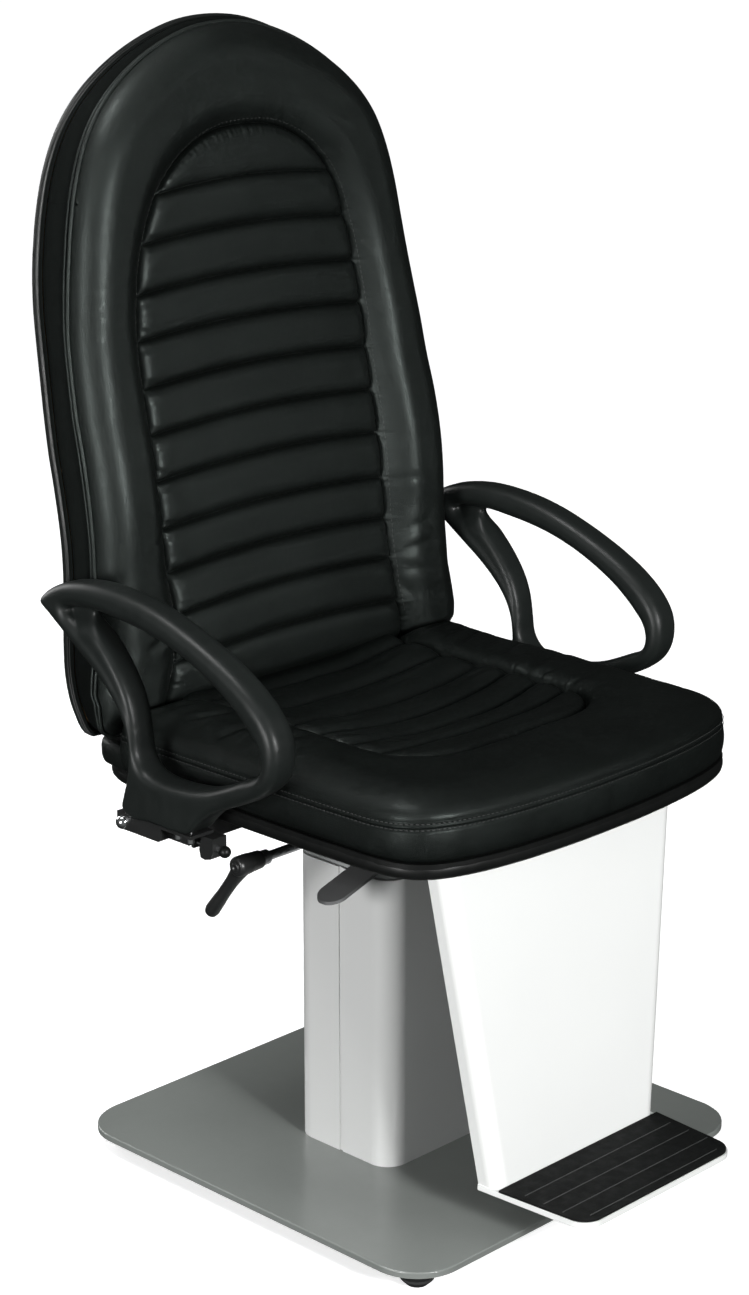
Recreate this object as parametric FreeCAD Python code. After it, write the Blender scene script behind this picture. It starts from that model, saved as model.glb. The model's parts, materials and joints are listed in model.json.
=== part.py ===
import FreeCAD, Part
import math
import os
from FreeCAD import Vector as V

# Ophthalmic examination chair. Millimetres, +Z up, the chair faces -Y.
# Shapes are drawn about the lifting column's axis and moved by Y_SHIFT on export,
# so that the row's origin is the middle of the chair's footprint on the floor.

os.makedirs("parts", exist_ok=True)

# ---------------------------------------------------------------- driving dimensions
Y_SHIFT = 21.5             # column axis lies this far behind the row's origin

BASE_W = 530.0             # square base plate
BASE_R = 55.0
BASE_T = 7.0
BASE_TOP = 26.5
FOOT_XY = 229.0            # levelling feet, from the column axis
FOOT_R = 18.0

COL_W, COL_D, COL_R, COL_T = 220.0, 145.0, 26.0, 4.0   # fixed outer tube
COL_TOP = 361.0
INNER_W, INNER_D, INNER_R, INNER_T = 204.0, 129.0, 20.0, 3.0
CAP_Z, CAP_T = 363.0, 12.0
LIFT = 200.0

POST_R = 25.0              # swivel post
HUB_R, HUB_Z0, HUB_Z1 = 50.0, 384.3, 412.0
FLANGE_Z1 = 420.0

RAIL_X0, RAIL_X1, RAIL_Z0, RAIL_Z1 = 90.0, 130.0, 420.0, 445.0
PAN_Z0, PAN_Z1 = 446.0, 464.0
SEAT_TOP = 531.0
SEAT_REAR = 188.0          # rear face of the thick part of the seat cushion

RECLINE_Y, RECLINE_Z = 238.0, 430.0
ARM_X = 297.0              # centre plane of an armrest
ARM_W = 38.0
ARM_PIVOT_Y, ARM_PIVOT_Z = 118.0, 436.0

PANEL_Z0, PANEL_Z1 = 66.0, 444.0
PLATE_Z0, PLATE_Z1 = 66.0, 73.0


# ---------------------------------------------------------------- helpers
def box(x0, x1, y0, y1, z0, z1):
    return Part.makeBox(x1 - x0, y1 - y0, z1 - z0, V(x0, y0, z0))


def cyl(p, d, r, h):
    return Part.makeCylinder(r, h, V(*p), V(*d))


def pipe(p, d, ro, ri, h):
    return cyl(p, d, ro, h).cut(cyl(p, d, ri, h))


def rrect_wire(w, d, r, z, cx=0.0, cy=0.0):
    a, b = w / 2.0, d / 2.0
    k = r * (1 - math.sqrt(0.5))
    e = []
    P = lambda x, y: V(cx + x, cy + y, z)
    e.append(Part.LineSegment(P(-a + r, -b), P(a - r, -b)))
    e.append(Part.Arc(P(a - r, -b), P(a - k, -b + k), P(a, -b + r)))
    e.append(Part.LineSegment(P(a, -b + r), P(a, b - r)))
    e.append(Part.Arc(P(a, b - r), P(a - k, b - k), P(a - r, b)))
    e.append(Part.LineSegment(P(a - r, b), P(-a + r, b)))
    e.append(Part.Arc(P(-a + r, b), P(-a + k, b - k), P(-a, b - r)))
    e.append(Part.LineSegment(P(-a, b - r), P(-a, -b + r)))
    e.append(Part.Arc(P(-a, -b + r), P(-a + k, -b + k), P(-a + r, -b)))
    return Part.Wire([s.toShape() for s in e])


def rrect(w, d, r, z0, z1, cx=0.0, cy=0.0):
    return Part.Face(rrect_wire(w, d, r, z0, cx, cy)).extrude(V(0, 0, z1 - z0))


def closed_spline(pts):
    c = Part.BSplineCurve()
    c.interpolate([V(*p) for p in pts], PeriodicFlag=True)
    return Part.Wire([c.toShape()])


def prism(wire, vec):
    return Part.Face(wire).extrude(V(*vec))


def poly_x(pts, x0, x1):
    # closed polygon in the YZ plane, extruded along X
    w = Part.makePolygon([V(x0, y, z) for y, z in pts] + [V(x0, pts[0][0], pts[0][1])])
    return Part.Face(w).extrude(V(x1 - x0, 0, 0))


def poly_y(pts, y0, y1):
    w = Part.makePolygon([V(x, y0, z) for x, z in pts] + [V(pts[0][0], y0, pts[0][1])])
    return Part.Face(w).extrude(V(0, y1 - y0, 0))


def profile_x(front, rear, x0, x1):
    # region of the YZ plane between two curves (y, z), both listed upward
    def spl(pts):
        c = Part.BSplineCurve()
        c.interpolate([V(x0, y, z) for y, z in pts])
        return c.toShape()
    f, r = spl(front), spl(rear)
    bottom = Part.LineSegment(V(x0, *front[0]), V(x0, *rear[0])).toShape()
    top = Part.LineSegment(V(x0, *rear[-1]), V(x0, *front[-1])).toShape()
    w = Part.Wire([bottom, r, top, f])
    return Part.Face(w).extrude(V(x1 - x0, 0, 0))


def mirror(s):
    return s.mirror(V(0, 0, 0), V(1, 0, 0))


def try_fillet(s, r, edges):
    try:
        f = s.makeFillet(r, edges)
        if f.isValid() and 0.5 * s.Volume < f.Volume < 1.001 * s.Volume:
            return f
    except Exception:
        pass
    return s


def hexagon(cx, cy, af, z0, z1):
    r = af / math.sqrt(3.0)
    pts = [V(cx + r * math.cos(math.radians(60 * i)), cy + r * math.sin(math.radians(60 * i)), z0) for i in range(7)]
    return Part.Face(Part.makePolygon(pts)).extrude(V(0, 0, z1 - z0))


SHIFT = V(0, Y_SHIFT, 0)


def solids_of(s):
    return s.Solids if s.Solids else [s]


def save(name, *shapes):
    sol = []
    for s in shapes:
        for k in solids_of(s):
            k = k.copy()
            k.translate(SHIFT)
            sol.append(k)
    for k in sol:
        if not k.isValid():
            print("INVALID", name)
        if k.Volume <= 0:
            print("NO VOLUME", name)
    out = sol[0] if len(sol) == 1 else Part.Compound(sol)
    out.exportStep("parts/%s.step" % name)
    bb = out.optimalBoundingBox(False, False)
    print("%-26s %2d solids  x %7.1f %7.1f  y %7.1f %7.1f  z %7.1f %7.1f  vol %9.0f" % (
        name, len(sol), bb.XMin, bb.XMax, bb.YMin, bb.YMax, bb.ZMin, bb.ZMax, sum(k.Volume for k in sol)))


# ---------------------------------------------------------------- base
plate_z0 = BASE_TOP - BASE_T
base = rrect(BASE_W, BASE_W, BASE_R, plate_z0, BASE_TOP)
top_edges = [e for e in base.Edges if abs(e.BoundBox.ZMin - BASE_TOP) < 1e-6 and abs(e.BoundBox.ZMax - BASE_TOP) < 1e-6]
base = try_fillet(base, 1.5, top_edges)
feet_xy = [(-FOOT_XY, -FOOT_XY, "front_right"), (FOOT_XY, -FOOT_XY, "front_left"),
           (-FOOT_XY, FOOT_XY, "rear_right"), (FOOT_XY, FOOT_XY, "rear_left")]
for fx, fy, fn in feet_xy:
    # the foot's thread ends in a blind hole, with a welded boss under the plate
    base = base.cut(cyl((fx, fy, plate_z0), (0, 0, 1), 5.06, 5.5))
    boss = cyl((fx, fy, 12.5), (0, 0, 1), 10.0, plate_z0 - 12.5).cut(cyl((fx, fy, 12.5), (0, 0, 1), 5.06, plate_z0 - 12.5))
    base = base.fuse(boss)
col_screw_xy = [(-72.0, -42.0), (72.0, -42.0), (-72.0, 42.0), (72.0, 42.0)]
foot_plate = rrect(COL_W - 2 * COL_T, COL_D - 2 * COL_T, COL_R - COL_T, BASE_TOP, BASE_TOP + 10.0)
col_screws = []
for sx, sy in col_screw_xy:
    hole = cyl((sx, sy, plate_z0), (0, 0, 1), 4.5, BASE_T)
    sink = Part.makeCone(8.4, 4.5, 4.2, V(sx, sy, plate_z0), V(0, 0, 1))
    base = base.cut(hole).cut(sink)
    foot_plate = foot_plate.cut(cyl((sx, sy, BASE_TOP), (0, 0, 1), 4.1, 10.0))
    head = Part.makeCone(8.1, 4.0, 4.1, V(sx, sy, plate_z0 + 0.1), V(0, 0, 1))
    sock = hexagon(sx, sy, 5.0, plate_z0 + 0.1, plate_z0 + 2.6)
    screw = head.fuse(cyl((sx, sy, plate_z0 + 0.1), (0, 0, 1), 4.0, 16.0)).cut(sock)
    col_screws.append(screw)
save("base_plate", base)

for fx, fy, fn in feet_xy:
    pad = Part.makeCone(11.0, FOOT_R, 7.0, V(fx, fy, 0), V(0, 0, 1)).fuse(cyl((fx, fy, 7.0), (0, 0, 1), FOOT_R, 3.0)).removeSplitter()
    pad = try_fillet(pad, 2.0, [e for e in pad.Edges if e.BoundBox.ZMax < 8.0 and abs(e.BoundBox.ZMax - e.BoundBox.ZMin) < 1e-6])
    # the threaded stud is moulded into the pad
    foot = pad.fuse(cyl((fx, fy, 5.0), (0, 0, 1), 5.0, 19.5))
    save("foot_" + fn, foot.removeSplitter())

save("column_screws", *col_screws)

outer = rrect(COL_W, COL_D, COL_R, BASE_TOP, COL_TOP).cut(
    rrect(COL_W - 2 * COL_T, COL_D - 2 * COL_T, COL_R - COL_T, BASE_TOP, COL_TOP))
for sgn in (-1, 1):
    # vertical groove down the middle of each narrow side
    gx = sgn * COL_W / 2.0
    g = box(min(gx, gx - sgn * 1.8), max(gx, gx - sgn * 1.8), -2.5, 2.5, BASE_TOP, COL_TOP)
    outer = outer.cut(g)
# window for the power inlet in the rear face, near the floor
outer = outer.cut(box(-14.3, 14.3, 60.0, 80.0, 44.7, 67.3))
outer = outer.fuse(foot_plate).removeSplitter()
save("column_outer", outer)

upper_pads = []
gap0, gap1 = INNER_D / 2.0 + 0.3, COL_D / 2.0 - COL_T
gx0, gx1 = INNER_W / 2.0 + 0.3, COL_W / 2.0 - COL_T
for zz, dest in ((326.0, "up"),):
    for px in (-55.0, 55.0):
        upper_pads.append(box(px - 15, px + 15, gap0, gap1, zz, zz + 30))
        upper_pads.append(box(px - 15, px + 15, -gap1, -gap0, zz, zz + 30))
    upper_pads.append(box(gx0, gx1, -20, 20, zz, zz + 30))
    upper_pads.append(box(-gx1, -gx0, -20, 20, zz, zz + 30))
save("guide_pads_fixed", *upper_pads)

# gear motor that drives the lifting screw
gear = box(-86, 36, -36, 36, 36.5, 74.0)
gear = try_fillet(gear, 5.0, [e for e in gear.Edges if abs(e.BoundBox.ZMax - e.BoundBox.ZMin) > 30])
gear = gear.cut(cyl((0, 0, 60.0), (0, 0, 1), 7.06, 14.0))
motor = cyl((-54, 0, 74.0), (0, 0, 1), 29.0, 104.0)
motor = try_fillet(motor, 3.0, [e for e in motor.Edges if abs(e.BoundBox.ZMin - 178.0) < 1e-6 and abs(e.BoundBox.ZMax - 178.0) < 1e-6])
save("lift_gear_motor", gear, motor)
ctrl = box(46, 97, -44, 44, 36.5, 72.0)
ctrl = try_fillet(ctrl, 3.0, [e for e in ctrl.Edges if abs(e.BoundBox.ZMax - e.BoundBox.ZMin) > 30])
save("lift_control_unit", ctrl)

inlet = box(-25, 25, COL_D / 2.0, COL_D / 2.0 + 3.0, 42.0, 70.0)
inlet = try_fillet(inlet, 4.0, [e for e in inlet.Edges if abs(e.BoundBox.YMax - e.BoundBox.YMin) > 2.9 and abs(e.BoundBox.ZMax - e.BoundBox.ZMin) < 1e-6])
inlet = inlet.fuse(box(-14, 14, 50.0, COL_D / 2.0, 45.0, 67.0))
rec0, rec1 = 55.5, COL_D / 2.0 + 3.0
inlet = inlet.cut(box(-11.5, 11.5, rec0, rec1, 48.5, 63.5))
save("power_inlet", inlet)
pins = []
for px, pz in ((-7.0, 54.5), (7.0, 54.5), (0.0, 59.0)):
    pins.append(box(px - 1.0, px + 1.0, rec0, rec0 + 13.0, pz - 2.0, pz + 2.0))
save("inlet_pins", *pins)
# lifting screw
screw = cyl((0, 0, 62.0), (0, 0, 1), 7.0, 268.0)
screw = screw.fuse(cyl((0, 0, 76.5), (0, 0, 1), 10.5, 6.0))
save("lift_screw", screw)

# ---------------------------------------------------------------- carriage
z_in0 = 86.0
inner = rrect(INNER_W, INNER_D, INNER_R, z_in0, CAP_Z).cut(
    rrect(INNER_W - 2 * INNER_T, INNER_D - 2 * INNER_T, INNER_R - INNER_T, z_in0, CAP_Z))
save("column_inner", inner)
cap = rrect(COL_W - 2.0, COL_D - 2.0, COL_R - 1.0, CAP_Z, CAP_Z + CAP_T)
cap = try_fillet(cap, 1.5, [e for e in cap.Edges if abs(e.BoundBox.ZMin - CAP_Z - CAP_T) < 1e-6 and abs(e.BoundBox.ZMax - CAP_Z - CAP_T) < 1e-6])
cap_screw_xy = [(-82.0, -46.0), (82.0, -46.0), (-82.0, 46.0), (82.0, 46.0)]
save("column_cap_plate", cap)
lower_pads = []
for px in (-55.0, 55.0):
    lower_pads.append(box(px - 15, px + 15, INNER_D / 2.0, gap1 - 0.3, 92, 122))
    lower_pads.append(box(px - 15, px + 15, -gap1 + 0.3, -INNER_D / 2.0, 92, 122))
lower_pads.append(box(INNER_W / 2.0, gx1 - 0.3, -20, 20, 92, 122))
lower_pads.append(box(-gx1 + 0.3, -INNER_W / 2.0, -20, 20, 92, 122))
save("guide_pads_sliding", *lower_pads)
save("push_tube", pipe((0, 0, 92.0), (0, 0, 1), 18.0, 15.0, CAP_Z - 92.0))
nut = pipe((0, 0, 92.0), (0, 0, 1), 15.0, 7.05, 26.0)
save("lift_nut", nut)
cap_top = CAP_Z + CAP_T
post = cyl((0, 0, cap_top), (0, 0, 1), POST_R, 47.0).fuse(cyl((0, 0, cap_top), (0, 0, 1), 47.0, 6.0)).cut(
    cyl((0, 0, cap_top + 27.0), (0, 0, 1), 4.1, 20.0))
save("swivel_post", post.removeSplitter())
save("thrust_washer", pipe((0, 0, cap_top + 6.0), (0, 0, 1), 47.0, POST_R + 0.5, HUB_Z0 - 0.3 - cap_top - 6.0))
save("swivel_retaining_plate", pipe((0, 0, cap_top + 47.0), (0, 0, 1), 38.0, 4.3, 5.0))
ret = cyl((0, 0, cap_top + 52.0), (0, 0, 1), 7.5, 5.0).fuse(cyl((0, 0, cap_top + 34.0), (0, 0, 1), 4.0, 18.0)).cut(
    hexagon(0, 0, 6.0, cap_top + 54.0, cap_top + 57.0))
save("retaining_screw", ret)

# ---------------------------------------------------------------- swivel head and seat frame
LOCK_Y, LOCK_Z = 6.0, 400.0
hub = cyl((0, 0, HUB_Z0), (0, 0, 1), HUB_R, HUB_Z1 - HUB_Z0).fuse(cyl((-45.0, LOCK_Y, LOCK_Z), (-1, 0, 0), 11.5, 27.0))
hub = hub.cut(cyl((0, 0, HUB_Z0), (0, 0, 1), 29.0, HUB_Z1 - HUB_Z0)).cut(cyl((0, LOCK_Y, LOCK_Z), (-1, 0, 0), 5.06, 90.0))
bush = pipe((0, 0, HUB_Z0), (0, 0, 1), 29.0, POST_R + 0.06, HUB_Z1 - HUB_Z0).cut(cyl((0, LOCK_Y, LOCK_Z), (-1, 0, 0), 6.0, 60.0))
save("swivel_bush", bush)
flange = rrect(264.0, 230.0, 12.0, HUB_Z1, FLANGE_Z1).cut(cyl((0, 0, HUB_Z1), (0, 0, 1), POST_R + 0.6, 8.0))
save("swivel_hub", hub.fuse(flange).removeSplitter())


def rail(x0, x1):
    o = box(x0, x1, -210.0, 226.0, RAIL_Z0, RAIL_Z1)
    o = try_fillet(o, 3.0, [e for e in o.Edges if abs(e.BoundBox.YMax - e.BoundBox.YMin) > 300])
    return o.cut(box(x0 + 2.5, x1 - 2.5, -210.0, 226.0, RAIL_Z0 + 2.5, RAIL_Z1 - 2.5))


rails = rail(RAIL_X0, RAIL_X1).fuse(rail(-RAIL_X1, -RAIL_X0))


def cross(y0, y1, x0, x1):
    o = box(x0, x1, y0, y1, RAIL_Z0, RAIL_Z1)
    return o.cut(box(x0, x1, y0 + 2.5, y1 - 2.5, RAIL_Z0 + 2.5, RAIL_Z1 - 2.5))


save("seat_crossbars", cross(-205.0, -165.0, -RAIL_X0, RAIL_X0), cross(160.0, 200.0, -RAIL_X0, RAIL_X0))
save("arm_outriggers", cross(48.0, 88.0, RAIL_X1, 271.0), cross(48.0, 88.0, -271.0, -RAIL_X1))

# recline hinge ears, inside the rails
ears = []
for sgn in (-1, 1):
    x0, x1 = sorted((sgn * 84.0, sgn * 90.0))
    e = poly_x([(200.0, 421.0), (200.0, 444.0), (232.0, 444.0), (250.5, 437.0), (250.5, 424.0), (244.0, 418.0), (232.0, 418.0)], x0, x1)
    e = e.cut(cyl((x0 - 1, RECLINE_Y, RECLINE_Z), (1, 0, 0), 6.0, 8.0))
    ears.append(e)


# ---------------------------------------------------------------- seat pan, board and cushion
def outline(half):
    # half: right-hand points from the front middle to the rear middle
    left = [(-x, y) for x, y in half[1:-1]][::-1]
    return list(half) + left


SEAT_HALF = [(0, -283), (50, -282.3), (100, -279.3), (150, -273.4), (188, -265.2), (216, -255), (237, -240.5),
             (250, -220), (255.5, -196), (258, -160), (259.5, -100), (260, -40), (260, 20), (260, 80), (259.5, 125),
             (258, 162), (253.5, 192), (243, 214), (225, 229), (200, 235), (165, 236), (110, 236), (55, 236), (0, 236)]


def inset(pts, d):
    # shrink a closed outline by d along its normals
    n = len(pts)
    out = []
    for i in range(n):
        x0, y0 = pts[(i - 1) % n]
        x1, y1 = pts[(i + 1) % n]
        tx, ty = x1 - x0, y1 - y0
        m = math.hypot(tx, ty)
        out.append((pts[i][0] - ty / m * d, pts[i][1] + tx / m * d))
    return out


seat_out = outline(SEAT_HALF)


def slab(pts, z0, z1):
    return prism(closed_spline([(x, y, z0) for x, y in pts]), (0, 0, z1 - z0))


def rim_edges(s, z):
    return [e for e in s.Edges if abs(e.BoundBox.ZMin - z) < 0.01 and abs(e.BoundBox.ZMax - z) < 0.01]


notches = [box(67.0, 91.0, 216.0, 240.0, 440.0, 500.0), box(-91.0, -67.0, 216.0, 240.0, 440.0, 500.0)]
pan = slab(seat_out, PAN_Z0, PAN_Z1)
pan = try_fillet(pan, 7.0, rim_edges(pan, PAN_Z0))
pan = pan.cut(slab(inset(seat_out, 12.0), PAN_Z0 + 4.0, PAN_Z1))
board = slab(inset(seat_out, 12.6), PAN_Z0 + 4.0, PAN_Z1)
cush_a = slab(inset(seat_out, 2.0), PAN_Z1, 489.0)
cush_b = slab(inset(seat_out, 2.0), 489.0, SEAT_TOP - 16.0)
for d0, d1, z0, z1 in ((2.0, 5.5, SEAT_TOP - 16.0, SEAT_TOP - 6.0), (5.5, 15.0, SEAT_TOP - 6.0, SEAT_TOP)):
    w0 = closed_spline([(x, y, z0) for x, y in inset(seat_out, d0)])
    w1 = closed_spline([(x, y, z1) for x, y in inset(seat_out, d1)])
    cush_b = cush_b.fuse(Part.makeLoft([w0, w1], True, True))
cush_b = cush_b.common(box(-300, 300, -300, SEAT_REAR, 480, 560))
for n in notches:
    pan, board, cush_a = pan.cut(n), board.cut(n), cush_a.cut(n)
# six screws pass up through the rails into the board
m6 = []
for sx in (-110.0, 110.0):
    for sy in (-150.0, 130.0, 205.0):
        hole = cyl((sx, sy, 410.0), (0, 0, 1), 3.1, 50.0)
        rails, pan, board = rails.cut(hole), pan.cut(hole), board.cut(hole)
        m6.append(cyl((sx, sy, 416.0), (0, 0, 1), 5.5, 3.9).fuse(cyl((sx, sy, 419.0), (0, 0, 1), 3.0, 40.0)).cut(
            hexagon(sx, sy, 4.0, 416.0, 418.4)))
save("seat_rails", rails)
save("seat_pan", pan)
save("seat_board", board)
save("seat_cushion", cush_a.fuse(cush_b).removeSplitter())
# ---------------------------------------------------------------- leg panel and footplate
SLOPE = 28.0 / 347.0


def panel_half(z):
    return 129.0 + 50.0 * (z - 72.0) / 347.0


def panel_front(z):
    return -250.0 + SLOPE * (z - 72.0)


def u_wire(z, t, depth, r):
    # U section open to the rear, sheet thickness t
    w, yf = panel_half(z), panel_front(z)
    k, ri = 1 - math.sqrt(0.5), r - t
    P = lambda x, y: V(x, y, z)
    yb = yf + depth
    e = [Part.LineSegment(P(-w, yb), P(-w, yf + r)),
         Part.Arc(P(-w, yf + r), P(-w + r * k, yf + r * k), P(-w + r, yf)),
         Part.LineSegment(P(-w + r, yf), P(w - r, yf)),
         Part.Arc(P(w - r, yf), P(w - r * k, yf + r * k), P(w, yf + r)),
         Part.LineSegment(P(w, yf + r), P(w, yb)),
         Part.LineSegment(P(w, yb), P(w - t, yb)),
         Part.LineSegment(P(w - t, yb), P(w - t, yf + r)),
         Part.Arc(P(w - t, yf + r), P(w - t - ri * k, yf + t + ri * k), P(w - r, yf + t)),
         Part.LineSegment(P(w - r, yf + t), P(-w + r, yf + t)),
         Part.Arc(P(-w + r, yf + t), P(-w + t + ri * k, yf + t + ri * k), P(-w + t, yf + r)),
         Part.LineSegment(P(-w + t, yf + r), P(-w + t, yb)),
         Part.LineSegment(P(-w + t, yb), P(-w, yb))]
    return Part.Wire([s.toShape() for s in e])


PANEL_T = 2.0
panel = Part.makeLoft([u_wire(PLATE_Z1, PANEL_T, 28.0, 16.0), u_wire(PANEL_Z1, PANEL_T, 28.0, 16.0)], True, True)
# footplate: rounded at the front, tucked under the panel at the rear
FP_R = 23.0


def footplate_wire(z, dx=0.0, y_rear=-222.0, front=-365.0):
    xr, xf = 130.5 - dx, 123.5 - dx
    P = lambda x, y: V(x, y, z)
    yc = front + FP_R
    k = FP_R * (1 - math.sqrt(0.5))
    e = [Part.LineSegment(P(-xr, y_rear), P(-xf, yc)),
         Part.Arc(P(-xf, yc), P(-xf + k, front + k), P(-xf + FP_R, front)),
         Part.LineSegment(P(-xf + FP_R, front), P(xf - FP_R, front)),
         Part.Arc(P(xf - FP_R, front), P(xf - k, front + k), P(xf, yc)),
         Part.LineSegment(P(xf, yc), P(xr, y_rear)),
         Part.LineSegment(P(xr, y_rear), P(-xr, y_rear))]
    return Part.Wire([s.toShape() for s in e])


footplate = Part.Face(footplate_wire(PLATE_Z0)).extrude(V(0, 0, PLATE_Z1 - PLATE_Z0))
footplate = try_fillet(footplate, 1.2, rim_edges(footplate, PLATE_Z0))
tread = Part.Face(footplate_wire(PLATE_Z1, 1.2, panel_front(PLATE_Z1) - 0.4, -363.8)).extrude(V(0, 0, 2.5))
# angle irons behind the panel hold the footplate
angles, fp_screws = [], []
for sx in (-70.0, 70.0):
    yb = panel_front(PLATE_Z1) + PANEL_T + 0.4
    a = box(sx - 20, sx + 20, yb, yb + 24.0, PLATE_Z1, PLATE_Z1 + 4.0)
    wall = poly_x([(yb, PLATE_Z1 + 4.0), (yb + 4.0, PLATE_Z1 + 4.0), (yb + 4.0 + 34 * SLOPE, PLATE_Z1 + 38.0), (yb + 34 * SLOPE, PLATE_Z1 + 38.0)], sx - 20, sx + 20)
    a = a.fuse(wall)
    a = a.cut(cyl((sx, yb + 14.0, PLATE_Z0), (0, 0, 1), 3.1, 20.0))
    footplate = footplate.cut(cyl((sx, yb + 14.0, PLATE_Z0), (0, 0, 1), 3.1, 20.0))
    fp_screws.append(cyl((sx, yb + 14.0, PLATE_Z0 - 4.0), (0, 0, 1), 5.0, 3.9).fuse(cyl((sx, yb + 14.0, PLATE_Z0 - 0.2), (0, 0, 1), 3.0, 15.0)).cut(
        hexagon(sx, yb + 14.0, 4.0, PLATE_Z0 - 4.0, PLATE_Z0 - 2.0)))
    angles.append(a)
# hanger plate across the rail ends carries the panel's upper edge
hang_y = -210.0
hanger = poly_x([(panel_front(421.0) + PANEL_T, 421.0), (hang_y, 421.0), (hang_y, 443.5), (panel_front(443.5) + PANEL_T, 443.5)], -150, 150)
pan_scr = []
for sx in (-120.0, -45.0, 45.0, 120.0):
    hz = 431.0
    yf = panel_front(hz)
    # countersunk from behind, so the painted face stays plain
    hanger = hanger.cut(cyl((sx, hang_y + 1, hz), (0, -1, 0), 3.1, 7.0))
    pan_scr.append(cyl((sx, hang_y + 0.1, hz), (0, 1, 0), 5.5, 3.9).fuse(cyl((sx, hang_y + 1.0, hz), (0, -1, 0), 3.0, 5.6)).cut(
        cyl((sx, hang_y + 4.0, hz), (0, -1, 0), 2.0, 2.4)))
save("leg_panel", panel)
save("footplate", footplate)
save("footplate_tread", tread)
save("footplate_brackets", *angles)
save("frame_screws", *(m6 + pan_scr + fp_screws))

# ---------------------------------------------------------------- swivel lock: long clamping screw with a ratchet handle
rod = cyl((-25.4, LOCK_Y, LOCK_Z), (-1, 0, 0), 5.0, 220.0)
rod = rod.fuse(cyl((-212.0, LOCK_Y, LOCK_Z), (-1, 0, 0), 8.0, 9.0))
save("lock_screw", rod)
HUBX0, HUBX1 = -221.3, -257.0
lh = cyl((HUBX0, LOCK_Y, LOCK_Z), (-1, 0, 0), 10.0, HUBX0 - HUBX1)
lh = lh.cut(cyl((HUBX0, LOCK_Y, LOCK_Z), (-1, 0, 0), 5.1, 24.5))
tipy, tipz = 55.0, 336.0
L = math.hypot(tipy - LOCK_Y, tipz - LOCK_Z)
ang = math.degrees(math.atan2(tipz - LOCK_Z, tipy - LOCK_Y))
armb = cyl((-247.0, LOCK_Y, LOCK_Z), (0, tipy - LOCK_Y, tipz - LOCK_Z), 7.5, L)
armb = armb.fuse(Part.makeSphere(7.5, V(-247.0, tipy, tipz)))
armb = armb.cut(cyl((HUBX0, LOCK_Y, LOCK_Z), (-1, 0, 0), 9.0, 40.0))
lh = lh.fuse(armb)
save("lock_handle", lh)

# ---------------------------------------------------------------- recline release: paddle lever and locking gas spring
LEV_Y = -60.5
PIV_X, PIV_Z = 20.0, 401.0


def strap(pts, t, y0, y1):
    # constant thickness strap from a centre line in XZ
    up, dn = [], []
    n = len(pts)
    for i in range(n):
        x0, z0 = pts[max(i - 1, 0)]
        x1, z1 = pts[min(i + 1, n - 1)]
        dx, dz = x1 - x0, z1 - z0
        m = math.hypot(dx, dz)
        up.append((pts[i][0] - dz / m * t / 2, pts[i][1] + dx / m * t / 2))
        dn.append((pts[i][0] + dz / m * t / 2, pts[i][1] - dx / m * t / 2))
    return poly_y(up + dn[::-1], y0, y1)


bend = [(-197.0, 362.5), (-150.0, 376.7), (-100.0, 391.8), (-86.0, 396.0), (-76.0, 398.6), (-64.0, 399.6), (-40.0, 399.8)]
wide = strap(bend, 3.6, LEV_Y - 17.5, LEV_Y + 17.5)
# round tip, cut in plan
mask = cyl((-197.0 + 17.5, LEV_Y, 300.0), (0, 0, 1), 17.5, 200.0).fuse(box(-179.5, -52.0, LEV_Y - 17.5, LEV_Y + 17.5, 300.0, 500.0))
wide = wide.common(mask)
narrow = strap([(-60.0, 399.75), (-40.0, 399.8), (50.0, 399.8), (58.0, 402.8), (66.0, 407.2), (82.0, 408.2)], 3.6, LEV_Y - 8.0, LEV_Y + 6.0)
barrel = cyl((PIV_X, LEV_Y - 8.0, PIV_Z), (0, 1, 0), 5.5, 14.0)
lever = wide.fuse(narrow).fuse(barrel).cut(cyl((PIV_X, LEV_Y - 30, PIV_Z), (0, 1, 0), 3.06, 60.0)).removeSplitter()
save("recline_lever", lever)
lv = []
for y0 in (LEV_Y - 12.0, LEV_Y + 7.0):
    p = poly_y([(PIV_X - 9, 412.0), (PIV_X + 9, 412.0), (PIV_X + 6, 394.0), (PIV_X - 6, 394.0)], y0, y0 + 3.0)
    lv.append(p.cut(cyl((PIV_X, y0 - 1, PIV_Z), (0, 1, 0), 3.03, 6.0)))
lever_pin = cyl((PIV_X, LEV_Y - 13.5, PIV_Z), (0, 1, 0), 3.0, 25.0)

GS_X = 71.5
F = (-45.0, 394.0)
R0 = (232.0, 388.0)
glen = math.hypot(R0[0] - F[0], R0[1] - F[1])
gang = math.degrees(math.atan2(R0[1] - F[1], R0[0] - F[0]))


def along(s):
    # drawn along +Y from the front pivot, then laid on the spring's real line
    s = s.copy()
    s.rotate(V(0, 0, 0), V(1, 0, 0), gang)
    s.translate(V(GS_X, F[0], F[1]))
    return s


cylr = pipe((0, 12.0, 0), (0, 1, 0), 11.0, 9.5, 146.0).fuse(cyl((0, 12.0, 0), (0, 1, 0), 11.0, 3.0)).fuse(pipe((0, 152.0, 0), (0, 1, 0), 11.0, 4.06, 6.0))
save("gas_spring_cylinder", along(cylr))
head = box(-7.0, 7.0, -24.0, 12.0, -8.0, 6.0).cut(cyl((-10, 0, 0), (1, 0, 0), 4.06, 20.0)).fuse(cyl((0, -16.0, 5.0), (0, 0, 1), 3.0, 3.0))
save("gas_spring_head", along(head))
rodg = cyl((0, 60.0, 0), (0, 1, 0), 4.0, glen - 60.0 - 6.6).fuse(cyl((0, 60.0, 0), (0, 1, 0), 9.15, 10.0))
eye = cyl((-3.0, glen, 0), (1, 0, 0), 9.0, 6.0).cut(cyl((-4.5, glen, 0), (1, 0, 0), 5.6, 8.0))
save("gas_spring_rod", along(rodg.fuse(eye).removeSplitter()))
gb = []
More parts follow.
